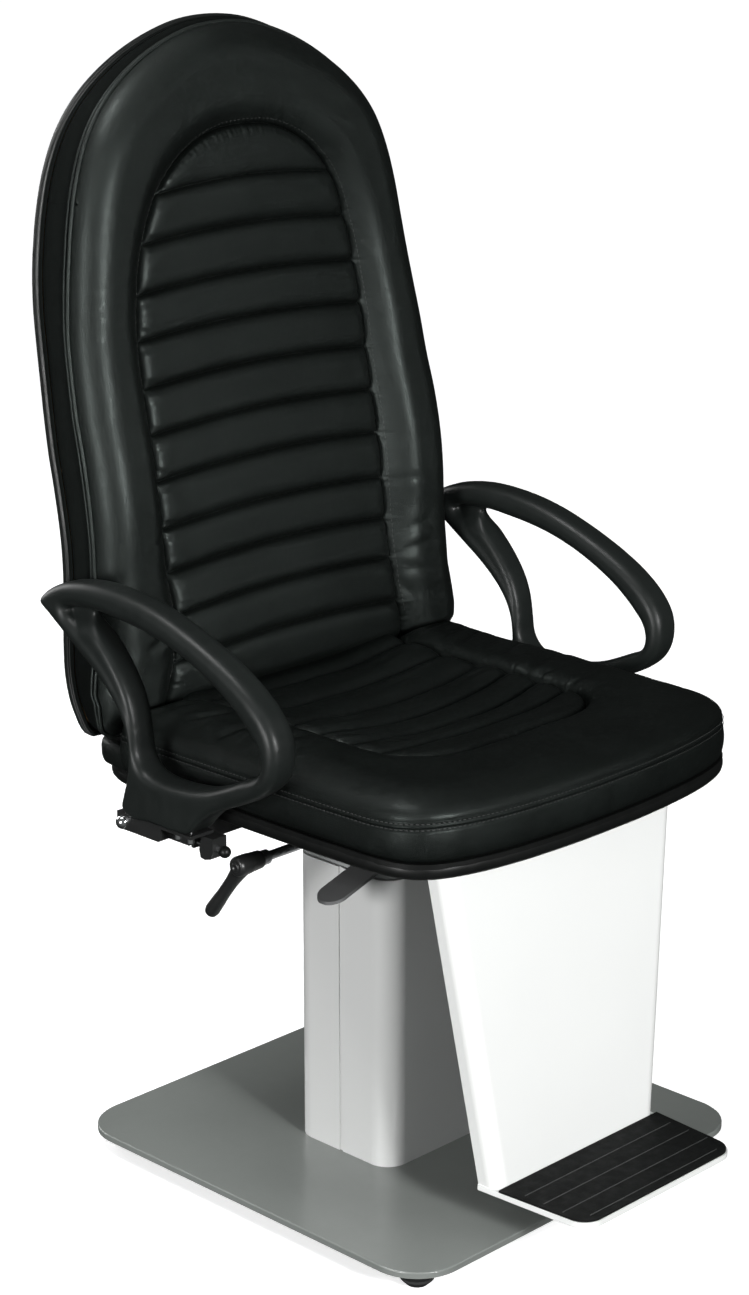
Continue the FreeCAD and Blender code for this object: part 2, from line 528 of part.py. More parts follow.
for x0 in (GS_X - 11.5, GS_X + 7.5):
    p = poly_x([(F[0] - 8, 412.0), (F[0] + 10, 412.0), (F[0] + 7, 386.0), (F[0] - 7, 386.0)], x0, x0 + 4.0)
    gb.append(p.cut(cyl((x0 - 1, F[0], F[1]), (1, 0, 0), 4.03, 6.0)))
save("frame_brackets", *(ears + [hanger] + lv + gb))
front_pin = cyl((GS_X - 12.5, F[0], F[1]), (1, 0, 0), 4.0, 25.0)
recline_pin = cyl((-93.0, RECLINE_Y, RECLINE_Z), (1, 0, 0), 6.0, 186.0)
save("hinge_pins", lever_pin, front_pin, recline_pin)


# ---------------------------------------------------------------- backrest
YP = [(203, 497), (203, 524), (203, 545), (204, 563), (205, 585), (207, 613), (209.5, 640), (211.5, 671), (212.5, 705),
      (215, 735), (218, 757), (221.5, 777), (226.5, 800), (237, 839), (245, 879), (253, 920), (258.2, 960), (261.8, 1001),
      (264.6, 1041), (267.4, 1081), (270.6, 1120), (276, 1158), (282, 1195), (288, 1236)]
YS = [(222, 494), (231, 503), (239.5, 515), (246, 526), (251.5, 541), (255.5, 560), (256.8, 585), (256.5, 615), (255.5, 645),
      (255, 671), (256.5, 700), (260, 727), (264, 749), (268.5, 770), (274, 792), (281.5, 831), (288.7, 873), (297, 914),
      (305.5, 950), (310.5, 980), (313.5, 1015), (315.5, 1056), (316.5, 1096), (317.5, 1140), (318, 1190), (317.5, 1240)]
BACK_HALF = [(0, 1232), (46, 1228), (81, 1218.5), (117, 1204), (150, 1185.5), (174, 1168), (194, 1149), (212.5, 1125), (231, 1087),
             (243, 1045), (250.8, 1003), (257.3, 960), (262.6, 920), (265.8, 880), (267.8, 840), (269.2, 800), (270.5, 757),
             (271, 700), (271.2, 640), (272, 590), (272.5, 550), (272, 522), (269, 504.5), (259, 497), (243, 495.5), (215, 495.5), (165, 495.5),
             (110, 495.5), (55, 495.5), (0, 495.5)]


def shift_curve(c, d):
    return [(y + d, z) for y, z in c]


def back_outline(d):
    pts = outline(BACK_HALF)
    # the list runs clockwise seen from the front, so the inset is reversed
    return inset(pts, -d)


def back_slab(d, z_clip=None):
    s = prism(closed_spline([(x, 60.0, z) for x, z in back_outline(d)]), (0, 320, 0))
    return s


rim = 15.0
shell_out = back_slab(0.0).common(profile_x(shift_curve(YS, -rim), YS, -320, 320))
shell_in = back_slab(4.0).common(profile_x(shift_curve(YS, -rim - 30), shift_curve(YS, -4.0), -320, 320))
shell = shell_out.cut(shell_in)
bboard = back_slab(7.0).common(profile_x(shift_curve(YS, -rim), shift_curve(YS, -5.0), -320, 320))
bc_rear = shift_curve(YS, -rim - 0.6)
c1 = back_slab(2.0).common(profile_x(shift_curve(YP, -8.0), bc_rear, -320, 320))
# the padded front swells forward of the piping with a broad rounded shoulder
c2 = None
for d, fwd, low in ((3.5, -16.0, 541.0), (8.5, -24.0, 543.0), (15.5, -30.0, 546.0), (25.0, -34.0, 550.0), (37.0, -36.0, 556.0)):
    layer = back_slab(d).common(profile_x(shift_curve(YP, fwd), shift_curve(YP, 4.0), -320, 320)).common(box(-320, 320, 60, 380, low, 1300))
    c2 = layer if c2 is None else c2.fuse(layer)
c1 = c1.common(box(-320, 320, 196.0, 380, 480, 1300))
cushion = c1.fuse(c2)
# hinge plates rise behind the seat into a pocket at the back of the cushion
plates = []
pock = []
for sgn in (-1, 1):
    x0, x1 = sorted((sgn * 76.0, sgn * 82.0))
    pts = [(228.0, 424.0), (246.0, 424.0), (247.0, 436.0), (240.0, 462.0), (236.0, 500.0), (236.0, 640.0), (222.0, 640.0), (222.0, 500.0), (224.0, 462.0), (227.5, 440.0)]
    p = poly_x(pts, x0, x1).fuse(cyl((x0, RECLINE_Y, RECLINE_Z), (1, 0, 0), 11.5, 6.0))
    if sgn > 0:
        crank = poly_x([(228.0, 430.0), (246.0, 430.0), (240.5, 388.0), (223.5, 388.0)], x0, x1).fuse(cyl((x0, R0[0], R0[1]), (1, 0, 0), 8.5, 6.0))
        # the crank carries a welded stud for the gas spring's eye
        p = p.fuse(crank).fuse(cyl((x0 - 9.0, R0[0], R0[1]), (1, 0, 0), 4.0, 12.0))
    fl = box(min(sgn * 60, sgn * 76), max(sgn * 60, sgn * 76), 231.0, 236.0, 560.0, 640.0)
    p = p.fuse(fl).cut(cyl((x0 - 1, RECLINE_Y, RECLINE_Z), (1, 0, 0), 6.06, 8.0)).removeSplitter()
    plates.append(p)
    k0, k1 = sorted((sgn * 75.5, sgn * 82.5))
    q = box(k0, k1, 221.5, 236.5, 480.0, 641.0).fuse(box(min(sgn * 59.5, sgn * 76), max(sgn * 59.5, sgn * 76), 230.5, 236.5, 559.0, 641.0))
    pock.append(q)
for q in pock:
    cushion, bboard, shell = cushion.cut(q), bboard.cut(q), shell.cut(q)
save("back_shell", shell)
save("back_board", bboard)
save("back_cushion", cushion)
save("recline_plates", *plates)

# ---------------------------------------------------------------- armrests
ARM_OUT = [(-113.5, 563), (-110.5, 578.2), (-103.5, 590.8), (-93.5, 602.5), (-80.2, 613.9), (-63.2, 625.4), (-41.2, 637.3), (-12.3, 650.2), (17, 661.4),
           (51, 672.2), (80.6, 678.9), (110.2, 682.9), (140, 684.7), (165, 684), (190, 680.5), (210, 675.5), (226, 668.5), (238, 660.5), (244.5, 654),
           (245, 648.5), (239.5, 644), (230, 638.2), (217.5, 629.8), (201, 618.8), (182, 606.3), (163.5, 594), (146.6, 581), (131.9, 567.1), (120.3, 552),
           (112.6, 535.6), (109.3, 518.1), (108.8, 500.6), (110.2, 484.7), (114.6, 466), (117, 453), (113, 448.3), (70, 447), (30, 447), (17, 449),
           (7.4, 458.4), (-5.8, 470.6), (-19, 479.5), (-38, 488.3), (-64, 500.2), (-86, 512.8), (-100.2, 524.6), (-108.6, 537), (-112.6, 549.5)]
ARM_IN = [(-90, 551), (-85.6, 565.6), (-74.7, 578.1), (-61, 590.3), (-44, 602.9), (-22.6, 615.1), (2.4, 627.1), (29.4, 637.2), (58.4, 645.2), (89.2, 650.8),
          (119.5, 654.3), (141.8, 655.8), (158, 655.3), (165.5, 651.5), (162, 642.5), (150.5, 629.5), (135.2, 614), (121.2, 597.1), (109.6, 579),
          (101.8, 558.7), (97.6, 535), (94.2, 512), (82.5, 498.5), (64, 494), (45, 493.6), (24.8, 495), (2.7, 498.4), (-18.1, 504.6), (-40, 514),
          (-60, 523.4), (-76.5, 530.5), (-87, 539)]
SECT = 9.5


def loop(pts, x0, x1):
    return prism(closed_spline([(x0, y, z) for y, z in pts]), (x1 - x0, 0, 0))


def arm_pad():
    x0, x1 = -ARM_X - ARM_W / 2.0, -ARM_X + ARM_W / 2.0
    o = loop(ARM_OUT, x0, x1)
    o = try_fillet(o, SECT, [e for e in o.Edges if e.BoundBox.XMax - e.BoundBox.XMin < 0.01])
    i = loop(ARM_IN, x0 - 5, x1 + 5)
    o = o.cut(i)
    # flat underside for the steel channel
    o = o.common(box(-400, 400, -300, 400, 447.0, 800))
    # the web between the two rear curves is thinner than the pad
    web = closed_spline([(x0 - 6, y, z) for y, z in ((158, 622), (172, 648), (190, 656.5), (210, 652), (222, 646), (218, 640), (203, 630), (182, 616), (164, 612))])
    for a in (x0 - 6, x1 - 7):
        t = prism(web, (13, 0, 0))
        t.translate(V(a - (x0 - 6), 0, 0))
        o = o.cut(t)
    return o


pad = arm_pad()
screw_pts = [(-303.0, 42.0), (-303.0, 23.0)]
for sx, sy in screw_pts:
    pad = pad.cut(cyl((sx, sy, 440.0), (0, 0, 1), 2.6, 15.0))
# inverted channel under the pad: web, outer leg and a short inner lug at the pivot
web = box(-313.0, -281.0, 12.0, 126.0, 443.5, 447.0)
leg = poly_x([(58.0, 446.0), (58.0, 430.5), (62.0, 428.5), (118.0, 428.5), (118.0, 446.0)], -313.0, -309.4).fuse(
    cyl((-313.0, ARM_PIVOT_Y, ARM_PIVOT_Z), (1, 0, 0), 8.0, 3.6)).fuse(box(-313.0, -309.4, 110.0, 126.0, 436.0, 447.0))
lug = cyl((-284.6, ARM_PIVOT_Y, ARM_PIVOT_Z), (1, 0, 0), 7.5, 3.6).fuse(box(-284.6, -281.0, 110.5, 125.5, 436.0, 447.0))
latch_lug = box(-291.0, -281.5, 31.5, 35.5, 424.0, 443.5)
channel = web.fuse(leg).fuse(lug).fuse(latch_lug)
channel = channel.cut(cyl((-320.0, ARM_PIVOT_Y, ARM_PIVOT_Z), (1, 0, 0), 4.06, 50.0))
for sx, sy in screw_pts:
    channel = channel.cut(cyl((sx, sy, 440.0), (0, 0, 1), 2.6, 10.0))
channel = channel.removeSplitter()
arm_screws = [cyl((sx, sy, 435.5), (0, 0, 1), 4.2, 7.9).fuse(cyl((sx, sy, 443.0), (0, 0, 1), 2.5, 11.0)).cut(hexagon(sx, sy, 3.0, 435.5, 438.0)) for sx, sy in screw_pts]

# hinge block on the outrigger's end, pivot bolt, latch and plunger
block = box(-309.0, -285.0, 60.0, 118.0, 429.5, 443.0).fuse(cyl((-309.0, ARM_PIVOT_Y, ARM_PIVOT_Z), (1, 0, 0), 7.0, 24.0))
block = block.common(box(-320, -285, 0, 200, 400, 443.0)).fuse(box(-285.0, -271.0, 46.0, 100.0, 421.0, 443.0)).cut(
    cyl((-320.0, ARM_PIVOT_Y, ARM_PIVOT_Z), (1, 0, 0), 4.0, 50.0))
block = block.removeSplitter()
bolt = cyl((-316.5, ARM_PIVOT_Y, ARM_PIVOT_Z), (1, 0, 0), 4.0, 37.0)
dome = Part.makeSphere(7.6, V(-312.0, ARM_PIVOT_Y, ARM_PIVOT_Z)).common(box(-330, -313.1, 100, 140, 420, 450))
bolt = bolt.fuse(dome)
# curved latch tab hanging at the front of the hinge
latch = box(-281.0, -274.0, 8.0, 46.0, 422.0, 442.0)
tab = poly_x([(0.5, 442.0), (14.0, 442.0), (19.0, 436.0), (21.5, 426.0), (19.5, 417.5), (13.0, 416.5), (4.5, 419.0), (0.5, 428.0)], -293.0, -274.0)
PL_X, PL_Z = -286.0, 429.5
latch = latch.fuse(tab).cut(cyl((PL_X, -10, PL_Z), (0, 1, 0), 3.06, 60.0)).removeSplitter()
plunger = cyl((PL_X, -4.0, PL_Z), (0, 1, 0), 3.0, 33.5)
collar = cyl((PL_X, -5.0, PL_Z), (0, 1, 0), 4.4, 5.0)
plunger = plunger.fuse(collar).fuse(cyl((PL_X, -8.0, PL_Z), (0, 1, 0), 3.0, 5.0)).removeSplitter()
knob = Part.makeSphere(6.4, V(PL_X, -10.0, PL_Z)).cut(cyl((PL_X, -5.0, PL_Z), (0, 1, 0), 10.0, 10.0)).cut(cyl((PL_X, -8.0, PL_Z), (0, 1, 0), 3.0, 10.0))

for side, fn in (("right", lambda s: s), ("left", mirror)):
    save("arm_pad_" + side, fn(pad))
    save("arm_channel_" + side, fn(channel))
    save("arm_screws_" + side, *[fn(s) for s in arm_screws])
    save("arm_plunger_" + side, fn(plunger))
    save("arm_plunger_knob_" + side, fn(knob))
save("arm_hinge_blocks", block, mirror(block))
save("arm_pivot_bolts", bolt, mirror(bolt))
save("arm_latches", latch, mirror(latch))
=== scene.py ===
import bpy, bmesh, json, math
import numpy as np
from mathutils import Vector, Matrix


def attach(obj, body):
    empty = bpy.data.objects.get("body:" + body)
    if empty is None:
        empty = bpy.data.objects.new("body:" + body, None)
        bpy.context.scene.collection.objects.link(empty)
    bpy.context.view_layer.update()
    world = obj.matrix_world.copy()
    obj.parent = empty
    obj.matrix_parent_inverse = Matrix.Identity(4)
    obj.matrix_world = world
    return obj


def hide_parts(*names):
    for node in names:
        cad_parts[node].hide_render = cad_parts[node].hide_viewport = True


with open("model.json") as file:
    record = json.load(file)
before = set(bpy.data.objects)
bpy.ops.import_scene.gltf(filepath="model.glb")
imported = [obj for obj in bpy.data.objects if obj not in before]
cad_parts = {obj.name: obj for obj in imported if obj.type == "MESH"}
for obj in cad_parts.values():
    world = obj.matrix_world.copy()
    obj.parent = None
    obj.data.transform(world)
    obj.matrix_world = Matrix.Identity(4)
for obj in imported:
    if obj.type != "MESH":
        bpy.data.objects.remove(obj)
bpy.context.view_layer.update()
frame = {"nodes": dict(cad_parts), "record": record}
N = frame["nodes"]
S = bpy.context.scene
RNG = np.random.default_rng(7)

SHIFT = 21.5          # mm, the lifting column's axis lies this far behind the origin


def W(x, y, z):
    """Millimetres about the column's axis to metres in the row frame."""
    return Vector((x / 1000.0, (y + SHIFT) / 1000.0, z / 1000.0))


# ------------------------------------------------------------------ camera and light
cam_data = bpy.data.cameras.new("camera")
cam = bpy.data.objects.new("camera", cam_data)
S.collection.objects.link(cam)
cam_data.sensor_fit = "AUTO"
cam_data.sensor_width = 36.0
cam_data.lens = 82.82
cam.location = (-2.2150, -2.1083 + SHIFT / 1000.0, 1.5229)
look = Vector((-0.0262, 0.0304 + SHIFT / 1000.0, 0.5822))
cam.rotation_euler = (look - cam.location).to_track_quat("-Z", "Y").to_euler()
cam_data.clip_end = 120.0
S.camera = cam

S.view_settings.view_transform = "Standard"
S.view_settings.look = "None"
S.view_settings.exposure = 0.0


def area(name, loc, target, size, power, size_y=None, color=(1, 1, 1)):
    d = bpy.data.lights.new(name, "AREA")
    d.energy = power
    d.color = color
    d.shape = "RECTANGLE"
    d.size = size
    d.size_y = size_y or size
    o = bpy.data.objects.new(name, d)
    o.location = loc
    o.rotation_euler = (Vector(target) - Vector(loc)).to_track_quat("-Z", "Y").to_euler()
    S.collection.objects.link(o)
    return o


area("front_softbox", (-0.6, -2.85, 1.30), (0, 0, 0.45), 0.5, 96, 0.6)
area("side_softbox", (-3.9, -0.5, 1.00), (0, 0, 0.6), 1.0, 122, 1.3)
area("top_softbox", (-0.9, 0.5, 3.0), (0, 0, 0.3), 0.8, 38)
area("back_softbox", (-0.3, 3.6, 1.7), (0, 0.2, 0.8), 1.3, 46, 1.9)

world = bpy.data.worlds.new("studio")
S.world = world
world.use_nodes = True
wn = world.node_tree
bg = wn.nodes["Background"]
# a studio that is dark behind the chair and pale in front of it
w_tc = wn.nodes.new("ShaderNodeTexCoord")
w_dot = wn.nodes.new("ShaderNodeVectorMath")
w_dot.operation = "DOT_PRODUCT"
w_dot.inputs[1].default_value = (-0.50, -0.58, 0.64)
w_map = wn.nodes.new("ShaderNodeMapRange")
w_map.interpolation_type = "SMOOTHSTEP"
w_map.inputs["From Min"].default_value = -0.75
w_map.inputs["From Max"].default_value = 0.95
w_map.inputs["To Min"].default_value = 0.018
w_map.inputs["To Max"].default_value = 0.18
wn.links.new(w_tc.outputs["Generated"], w_dot.inputs[0])
wn.links.new(w_dot.outputs["Value"], w_map.inputs["Value"])
wn.links.new(w_map.outputs["Result"], bg.inputs["Strength"])
bg.inputs["Color"].default_value = (0.93, 0.965, 0.95, 1)


# ------------------------------------------------------------------ node material helpers
class Mat:
    def __init__(self, name):
        self.m = bpy.data.materials.new(name)
        self.m.use_nodes = True
        self.t = self.m.node_tree
        self.p = self.t.nodes["Principled BSDF"]
        self.tc = self.t.nodes.new("ShaderNodeTexCoord")
        self.h = None

    def node(self, kind, **inputs):
        n = self.t.nodes.new(kind)
        for k, v in inputs.items():
            n.inputs[k.replace("_", " ")].default_value = v
        return n

    def link(self, a, b):
        self.t.links.new(a, b)

    def mapping(self, scale=(1, 1, 1), rot=(0, 0, 0)):
        n = self.t.nodes.new("ShaderNodeMapping")
        n.inputs["Scale"].default_value = scale
        n.inputs["Rotation"].default_value = rot
        self.link(self.tc.outputs["Object"], n.inputs["Vector"])
        return n.outputs["Vector"]

    def noise(self, scale, detail=2.0, rough=0.5, vec=None, distortion=0.0):
        n = self.t.nodes.new("ShaderNodeTexNoise")
        n.inputs["Scale"].default_value = scale
        n.inputs["Detail"].default_value = detail
        n.inputs["Roughness"].default_value = rough
        n.inputs["Distortion"].default_value = distortion
        self.link(vec or self.tc.outputs["Object"], n.inputs["Vector"])
        return n.outputs["Fac"]

    def voronoi(self, scale, feature="DISTANCE_TO_EDGE", vec=None, rand=1.0):
        n = self.t.nodes.new("ShaderNodeTexVoronoi")
        n.feature = feature
        n.inputs["Scale"].default_value = scale
        n.inputs["Randomness"].default_value = rand
        self.link(vec or self.tc.outputs["Object"], n.inputs["Vector"])
        return n.outputs["Distance"]

    def remap(self, sock, a, b, lo=0.0, hi=1.0):
        n = self.t.nodes.new("ShaderNodeMapRange")
        n.inputs["From Min"].default_value = lo
        n.inputs["From Max"].default_value = hi
        n.inputs["To Min"].default_value = a
        n.inputs["To Max"].default_value = b
        self.link(sock, n.inputs["Value"])
        return n.outputs["Result"]

    def ramp(self, sock, stops):
        n = self.t.nodes.new("ShaderNodeValToRGB")
        el = n.color_ramp.elements
        while len(el) < len(stops):
            el.new(0.5)
        for e, (pos, col) in zip(el, stops):
            e.position = pos
            e.color = (col[0], col[1], col[2], 1.0)
        self.link(sock, n.inputs["Fac"])
        return n.outputs["Color"]

    def math(self, op, a, b):
        n = self.t.nodes.new("ShaderNodeMath")
        n.operation = op
        for i, v in enumerate((a, b)):
            if isinstance(v, (int, float)):
                n.inputs[i].default_value = v
            else:
                self.link(v, n.inputs[i])
        return n.outputs["Value"]

    def bump(self, sock, dist, strength=1.0):
        n = self.t.nodes.new("ShaderNodeBump")
        n.inputs["Strength"].default_value = strength
        n.inputs["Distance"].default_value = dist
        self.link(sock, n.inputs["Height"])
        if self.h is not None:
            self.link(self.h, n.inputs["Normal"])
        self.h = n.outputs["Normal"]
        self.link(self.h, self.p.inputs["Normal"])
        return self

    def set(self, **kw):
        for k, v in kw.items():
            self.p.inputs[k.replace("_", " ")].default_value = v
        return self


def rgb(v, g=None, b=None):
    """sRGB 0-255 to linear."""
    out = []
    for c in (v, v if g is None else g, v if b is None else b):
        c /= 255.0
        out.append(c / 12.92 if c <= 0.04045 else ((c + 0.055) / 1.055) ** 2.4)
    return tuple(out)


def leather(name, dark=(0.0022, 0.0028, 0.0025), light=(0.0044, 0.0055, 0.0050), rough=(0.35, 0.46), grain=620.0, depth=0.00022):
    m = Mat(name)
    tone = m.noise(9.0, 4.0, 0.6)
    m.link(m.ramp(tone, [(0.3, dark), (0.7, light)]), m.p.inputs["Base Color"])
    fine = m.noise(140.0, 3.0, 0.6)
    m.link(m.remap(fine, rough[0], rough[1], 0.3, 0.7), m.p.inputs["Roughness"])
    m.set(Specular_IOR_Level=0.33, Specular_Tint=(0.88, 1.0, 0.95, 1.0))
    cells = m.voronoi(grain)
    creases = m.ramp(cells, [(0.0, (0, 0, 0)), (0.09, (1, 1, 1))])
    m.bump(creases, depth, 0.55)
    soft = m.noise(55.0, 5.0, 0.62, distortion=0.8)
    m.bump(soft, 0.0005, 0.5)
    return m


def paint(name, color, rough=0.35, peel=0.00012, coat=0.25, tint=0.04, spec=0.5):
    m = Mat(name)
    lo = tuple(c * (1 - tint) for c in color)
    hi = tuple(min(1.0, c * (1 + tint)) for c in color)
    m.link(m.ramp(m.noise(4.0, 3.0, 0.5), [(0.3, lo), (0.7, hi)]), m.p.inputs["Base Color"])
    m.link(m.remap(m.noise(30.0, 3.0, 0.6), rough * 0.86, rough * 1.16, 0.3, 0.7), m.p.inputs["Roughness"])
    m.set(Coat_Weight=coat, Coat_Roughness=0.16, Specular_IOR_Level=spec)
    m.bump(m.noise(420.0, 2.0, 0.5), peel, 0.5)
    return m


def metal(name, color, rough=(0.22, 0.36), brush=None, micro=0.00004):
    m = Mat(name)
    if brush:
        v = m.mapping(scale=brush)
        grain = m.noise(60.0, 4.0, 0.65, vec=v)
    else:
        grain = m.noise(240.0, 3.0, 0.6)
    m.link(m.ramp(grain, [(0.25, tuple(c * 0.86 for c in color)), (0.75, color)]), m.p.inputs["Base Color"])
    m.link(m.remap(grain, rough[0], rough[1], 0.3, 0.7), m.p.inputs["Roughness"])
    m.set(Metallic=1.0)
    m.bump(grain, micro, 0.6)
    return m


def plastic(name, color, rough=0.45, grain=900.0, depth=0.00006, tint=0.12, spec=0.4):
    m = Mat(name)
    lo = tuple(c * (1 - tint) for c in color)
    hi = tuple(min(1.0, c * (1 + tint)) for c in color)
    m.link(m.ramp(m.noise(16.0, 3.0, 0.6), [(0.3, lo), (0.7, hi)]), m.p.inputs["Base Color"])
    m.link(m.remap(m.noise(70.0, 3.0, 0.6), rough * 0.85, rough * 1.15, 0.3, 0.7), m.p.inputs["Roughness"])
    m.set(Specular_IOR_Level=spec)
    m.bump(m.noise(grain, 2.0, 0.6), depth, 0.6)
    return m


# ------------------------------------------------------------------ materials, one or more for each slot
M = {}
M["painted_grey"] = paint("painted_grey", (0.185, 0.198, 0.188), rough=0.34, coat=0.35, tint=0.05)
M["painted_white"] = paint("painted_white", (0.80, 0.81, 0.80), rough=0.36, coat=0.30, tint=0.015)
M["column_paint"] = paint("column_paint", (0.60, 0.605, 0.60), rough=0.34, coat=0.35, tint=0.02)
M["cap_paint"] = paint("cap_paint", (0.30, 0.31, 0.31), rough=0.4, coat=0.2)
M["painted_black"] = paint("painted_black", (0.011, 0.0115, 0.0115), rough=0.42, coat=0.15, tint=0.12)
M["lever_metal"] = metal("lever_metal", (0.17, 0.173, 0.174), rough=(0.38, 0.5), brush=(1.0, 0.05, 1.0))
M["lever_metal"].set(Metallic=0.6)
M["handle_metal"] = paint("handle_metal", (0.010, 0.0105, 0.0105), rough=0.38, coat=0.15, tint=0.15)
M["satin_steel"] = metal("satin_steel", (0.52, 0.53, 0.54), rough=(0.30, 0.44), brush=(1.0, 1.0, 0.06))
M["bright_steel"] = metal("bright_steel", (0.66, 0.67, 0.68), rough=(0.14, 0.26), brush=(1.0, 1.0, 0.1))
M["zinc_steel"] = metal("zinc_steel", (0.55, 0.56, 0.58), rough=(0.26, 0.42))
M["chrome"] = metal("chrome", (0.80, 0.81, 0.82), rough=(0.05, 0.13), micro=0.00002)
M["cast_alloy"] = metal("cast_alloy", (0.42, 0.43, 0.44), rough=(0.44, 0.6), micro=0.00015)
M["brass_nut"] = metal("brass_nut", (0.66, 0.46, 0.19), rough=(0.24, 0.4))
M["brass_contact"] = metal("brass_contact", (0.74, 0.56, 0.26), rough=(0.16, 0.3))
M["guide_plastic"] = plastic("guide_plastic", (0.62, 0.60, 0.54), rough=0.42)
M["black_plastic"] = plastic("black_plastic", (0.0040, 0.0044, 0.0042), rough=0.42, spec=0.22)
M["shell_plastic"] = plastic("shell_plastic", (0.0062, 0.0072, 0.0068), rough=0.42, grain=1400.0, depth=0.00004, spec=0.36)
M["foot_plastic"] = plastic("foot_plastic", (0.030, 0.031, 0.031), rough=0.45)
M["arm_foam"] = plastic("arm_foam", (0.0085, 0.0104, 0.0097), rough=0.42, grain=700.0, depth=0.00010, tint=0.10, spec=0.25)
M["black_leather"] = leather("black_leather")
M["black_rubber"] = plastic("black_rubber", (0.0050, 0.0055, 0.0053), rough=0.72, grain=520.0, depth=0.00022, spec=0.12)
# lighter copy of the tread rubber for the raised ribs: the lightness is a painted ridge highlight, the tread itself is
# nearly black
M["rib_rubber_highlight"] = plastic("rib_rubber_highlight", (0.036, 0.038, 0.037), rough=0.55, grain=520.0, depth=0.00010)
# stitch thread, dark grey and lighter than the leather; part of that lightness is a painted glint on the stitches
M["thread"] = plastic("thread", (0.030, 0.032, 0.031), rough=0.5, grain=1500.0, depth=0.0001)
M["piping_leather"] = leather("piping_leather", dark=(0.006, 0.0072, 0.0068), light=(0.011, 0.013, 0.012), rough=(0.36, 0.46), grain=900.0, depth=0.00012)
# darker, near matte copy of the black leather for the recessed boxing band behind the padded front and the shell's
# inner lip: painted shade of the recess
M["boxing_leather_shade"] = leather("boxing_leather_shade", dark=(0.0016, 0.0019, 0.0018), light=(0.0030, 0.0036, 0.0033), rough=(0.66, 0.78), grain=760.0)
M["boxing_leather_shade"].set(Specular_IOR_Level=0.07)
# darker, less shiny copy of the black leather for the seat's side walls, ledge and underside: painted shade
M["seat_wall_leather_shade"] = leather("seat_wall_leather_shade", dark=(0.0018, 0.0023, 0.0021), light=(0.0036, 0.0046, 0.0042), rough=(0.38, 0.48))
M["seat_wall_leather_shade"].set(Specular_IOR_Level=0.20)
# darker copy of the black leather for the seat's quilted top: painted shade of the upward-facing seat
M["seat_top_leather_shade"] = leather("seat_top_leather_shade", dark=(0.0012, 0.0016, 0.0014), light=(0.0028, 0.0036, 0.0032), rough=(0.34, 0.45))
M["seat_top_leather_shade"].set(Specular_IOR_Level=0.27)

ply = Mat("plywood")
pv = ply.mapping(scale=(1.0, 0.08, 1.0))
pn = ply.noise(70.0, 5.0, 0.6, vec=pv)
ply.link(ply.ramp(pn, [(0.3, (0.36, 0.22, 0.11)), (0.7, (0.56, 0.38, 0.21))]), ply.p.inputs["Base Color"])
ply.set(Roughness=0.65)
ply.bump(pn, 0.0002, 0.5)
M["plywood"] = ply

floor_m = Mat("floor_paper")
floor_m.link(floor_m.ramp(floor_m.noise(1.2, 2.0, 0.5), [(0.3, (0.905, 0.91, 0.912)), (0.7, (0.925, 0.93, 0.932))]), floor_m.p.inputs["Base Color"])
floor_m.link(floor_m.remap(floor_m.noise(5.0, 3.0, 0.5), 0.72, 0.82, 0.3, 0.7), floor_m.p.inputs["Roughness"])
floor_m.set(Specular_IOR_Level=0.2, Emission_Color=(1, 1, 1, 1))
far = floor_m.node("ShaderNodeVectorMath")
far.operation = "LENGTH"
floor_m.link(floor_m.tc.outputs["Object"], far.inputs[0])
floor_m.link(floor_m.remap(far.outputs["Value"], 0.62, 0.97, 1.2, 6.0), floor_m.p.inputs["Emission Strength"])
dome_m = Mat("dome_paper")
dome_m.link(dome_m.ramp(dome_m.noise(0.2, 2.0, 0.5), [(0.3, (0.92, 0.925, 0.93)), (0.7, (0.95, 0.955, 0.96))]), dome_m.p.inputs["Emission Color"])
dome_m.set(Base_Color=(0.0, 0.0, 0.0, 1.0), Roughness=1.0, Specular_IOR_Level=0.0, Emission_Strength=0.95)

# every CAD node takes the finish of its slot
slots = {}
for sp in frame["record"]["subparts"]:
    if sp.get("node") and sp.get("material_slot"):
        slots[sp["node"]] = sp["material_slot"]
special = {"column_outer": "column_paint", "column_inner": "satin_steel", "column_cap_plate": "cap_paint"}
for n, o in N.items():
    key = special.get(n, slots.get(n, "painted_black"))
    o.data.materials.clear()
    o.data.materials.append(M[key].m)


# ------------------------------------------------------------------ round floor inside a pale dome
def disc_of_rings(name, rings, material):
    """Surface of revolution about Z through the given (radius, height) pairs."""
    bm = bmesh.new()
    rows = []
    for rad, h in rings:
        if rad == 0:
            rows.append([bm.verts.new((0, 0, h))] * 96)
        else:
            rows.append([bm.verts.new((rad * math.cos(2 * math.pi * i / 96), rad * math.sin(2 * math.pi * i / 96), h)) for i in range(96)])
    for r0, r1 in zip(rows[:-1], rows[1:]):
        for i in range(96):
            q = []
            for v in (r0[i], r1[i], r1[(i + 1) % 96], r0[(i + 1) % 96]):
                if v not in q:
                    q.append(v)
            bm.faces.new(q)
    me = bpy.data.meshes.new(name)
    bm.to_mesh(me)
    bm.free()
    me.materials.append(material.m)
    me.polygons.foreach_set("use_smooth", [True] * len(me.polygons))
    o = bpy.data.objects.new(name, me)
    S.collection.objects.link(o)
    # the bright paper stays out of the dark leather's reflections
    o.visible_glossy = False
    o.visible_diffuse = False
    return o


floor = disc_of_rings("floor", [(0, -0.0004), (2.0, -0.0004), (8.0, -0.0004), (24.0, -0.0004)], floor_m)
dome = disc_of_rings("backdrop", [(23.8, -0.0004)] + [(23.8 * math.cos(math.radians(t)), 14.0 * math.sin(math.radians(t))) for t in range(3, 88, 6)] + [(0, 14.0)], dome_m)
dome.visible_shadow = False
dome.visible_transmission = False


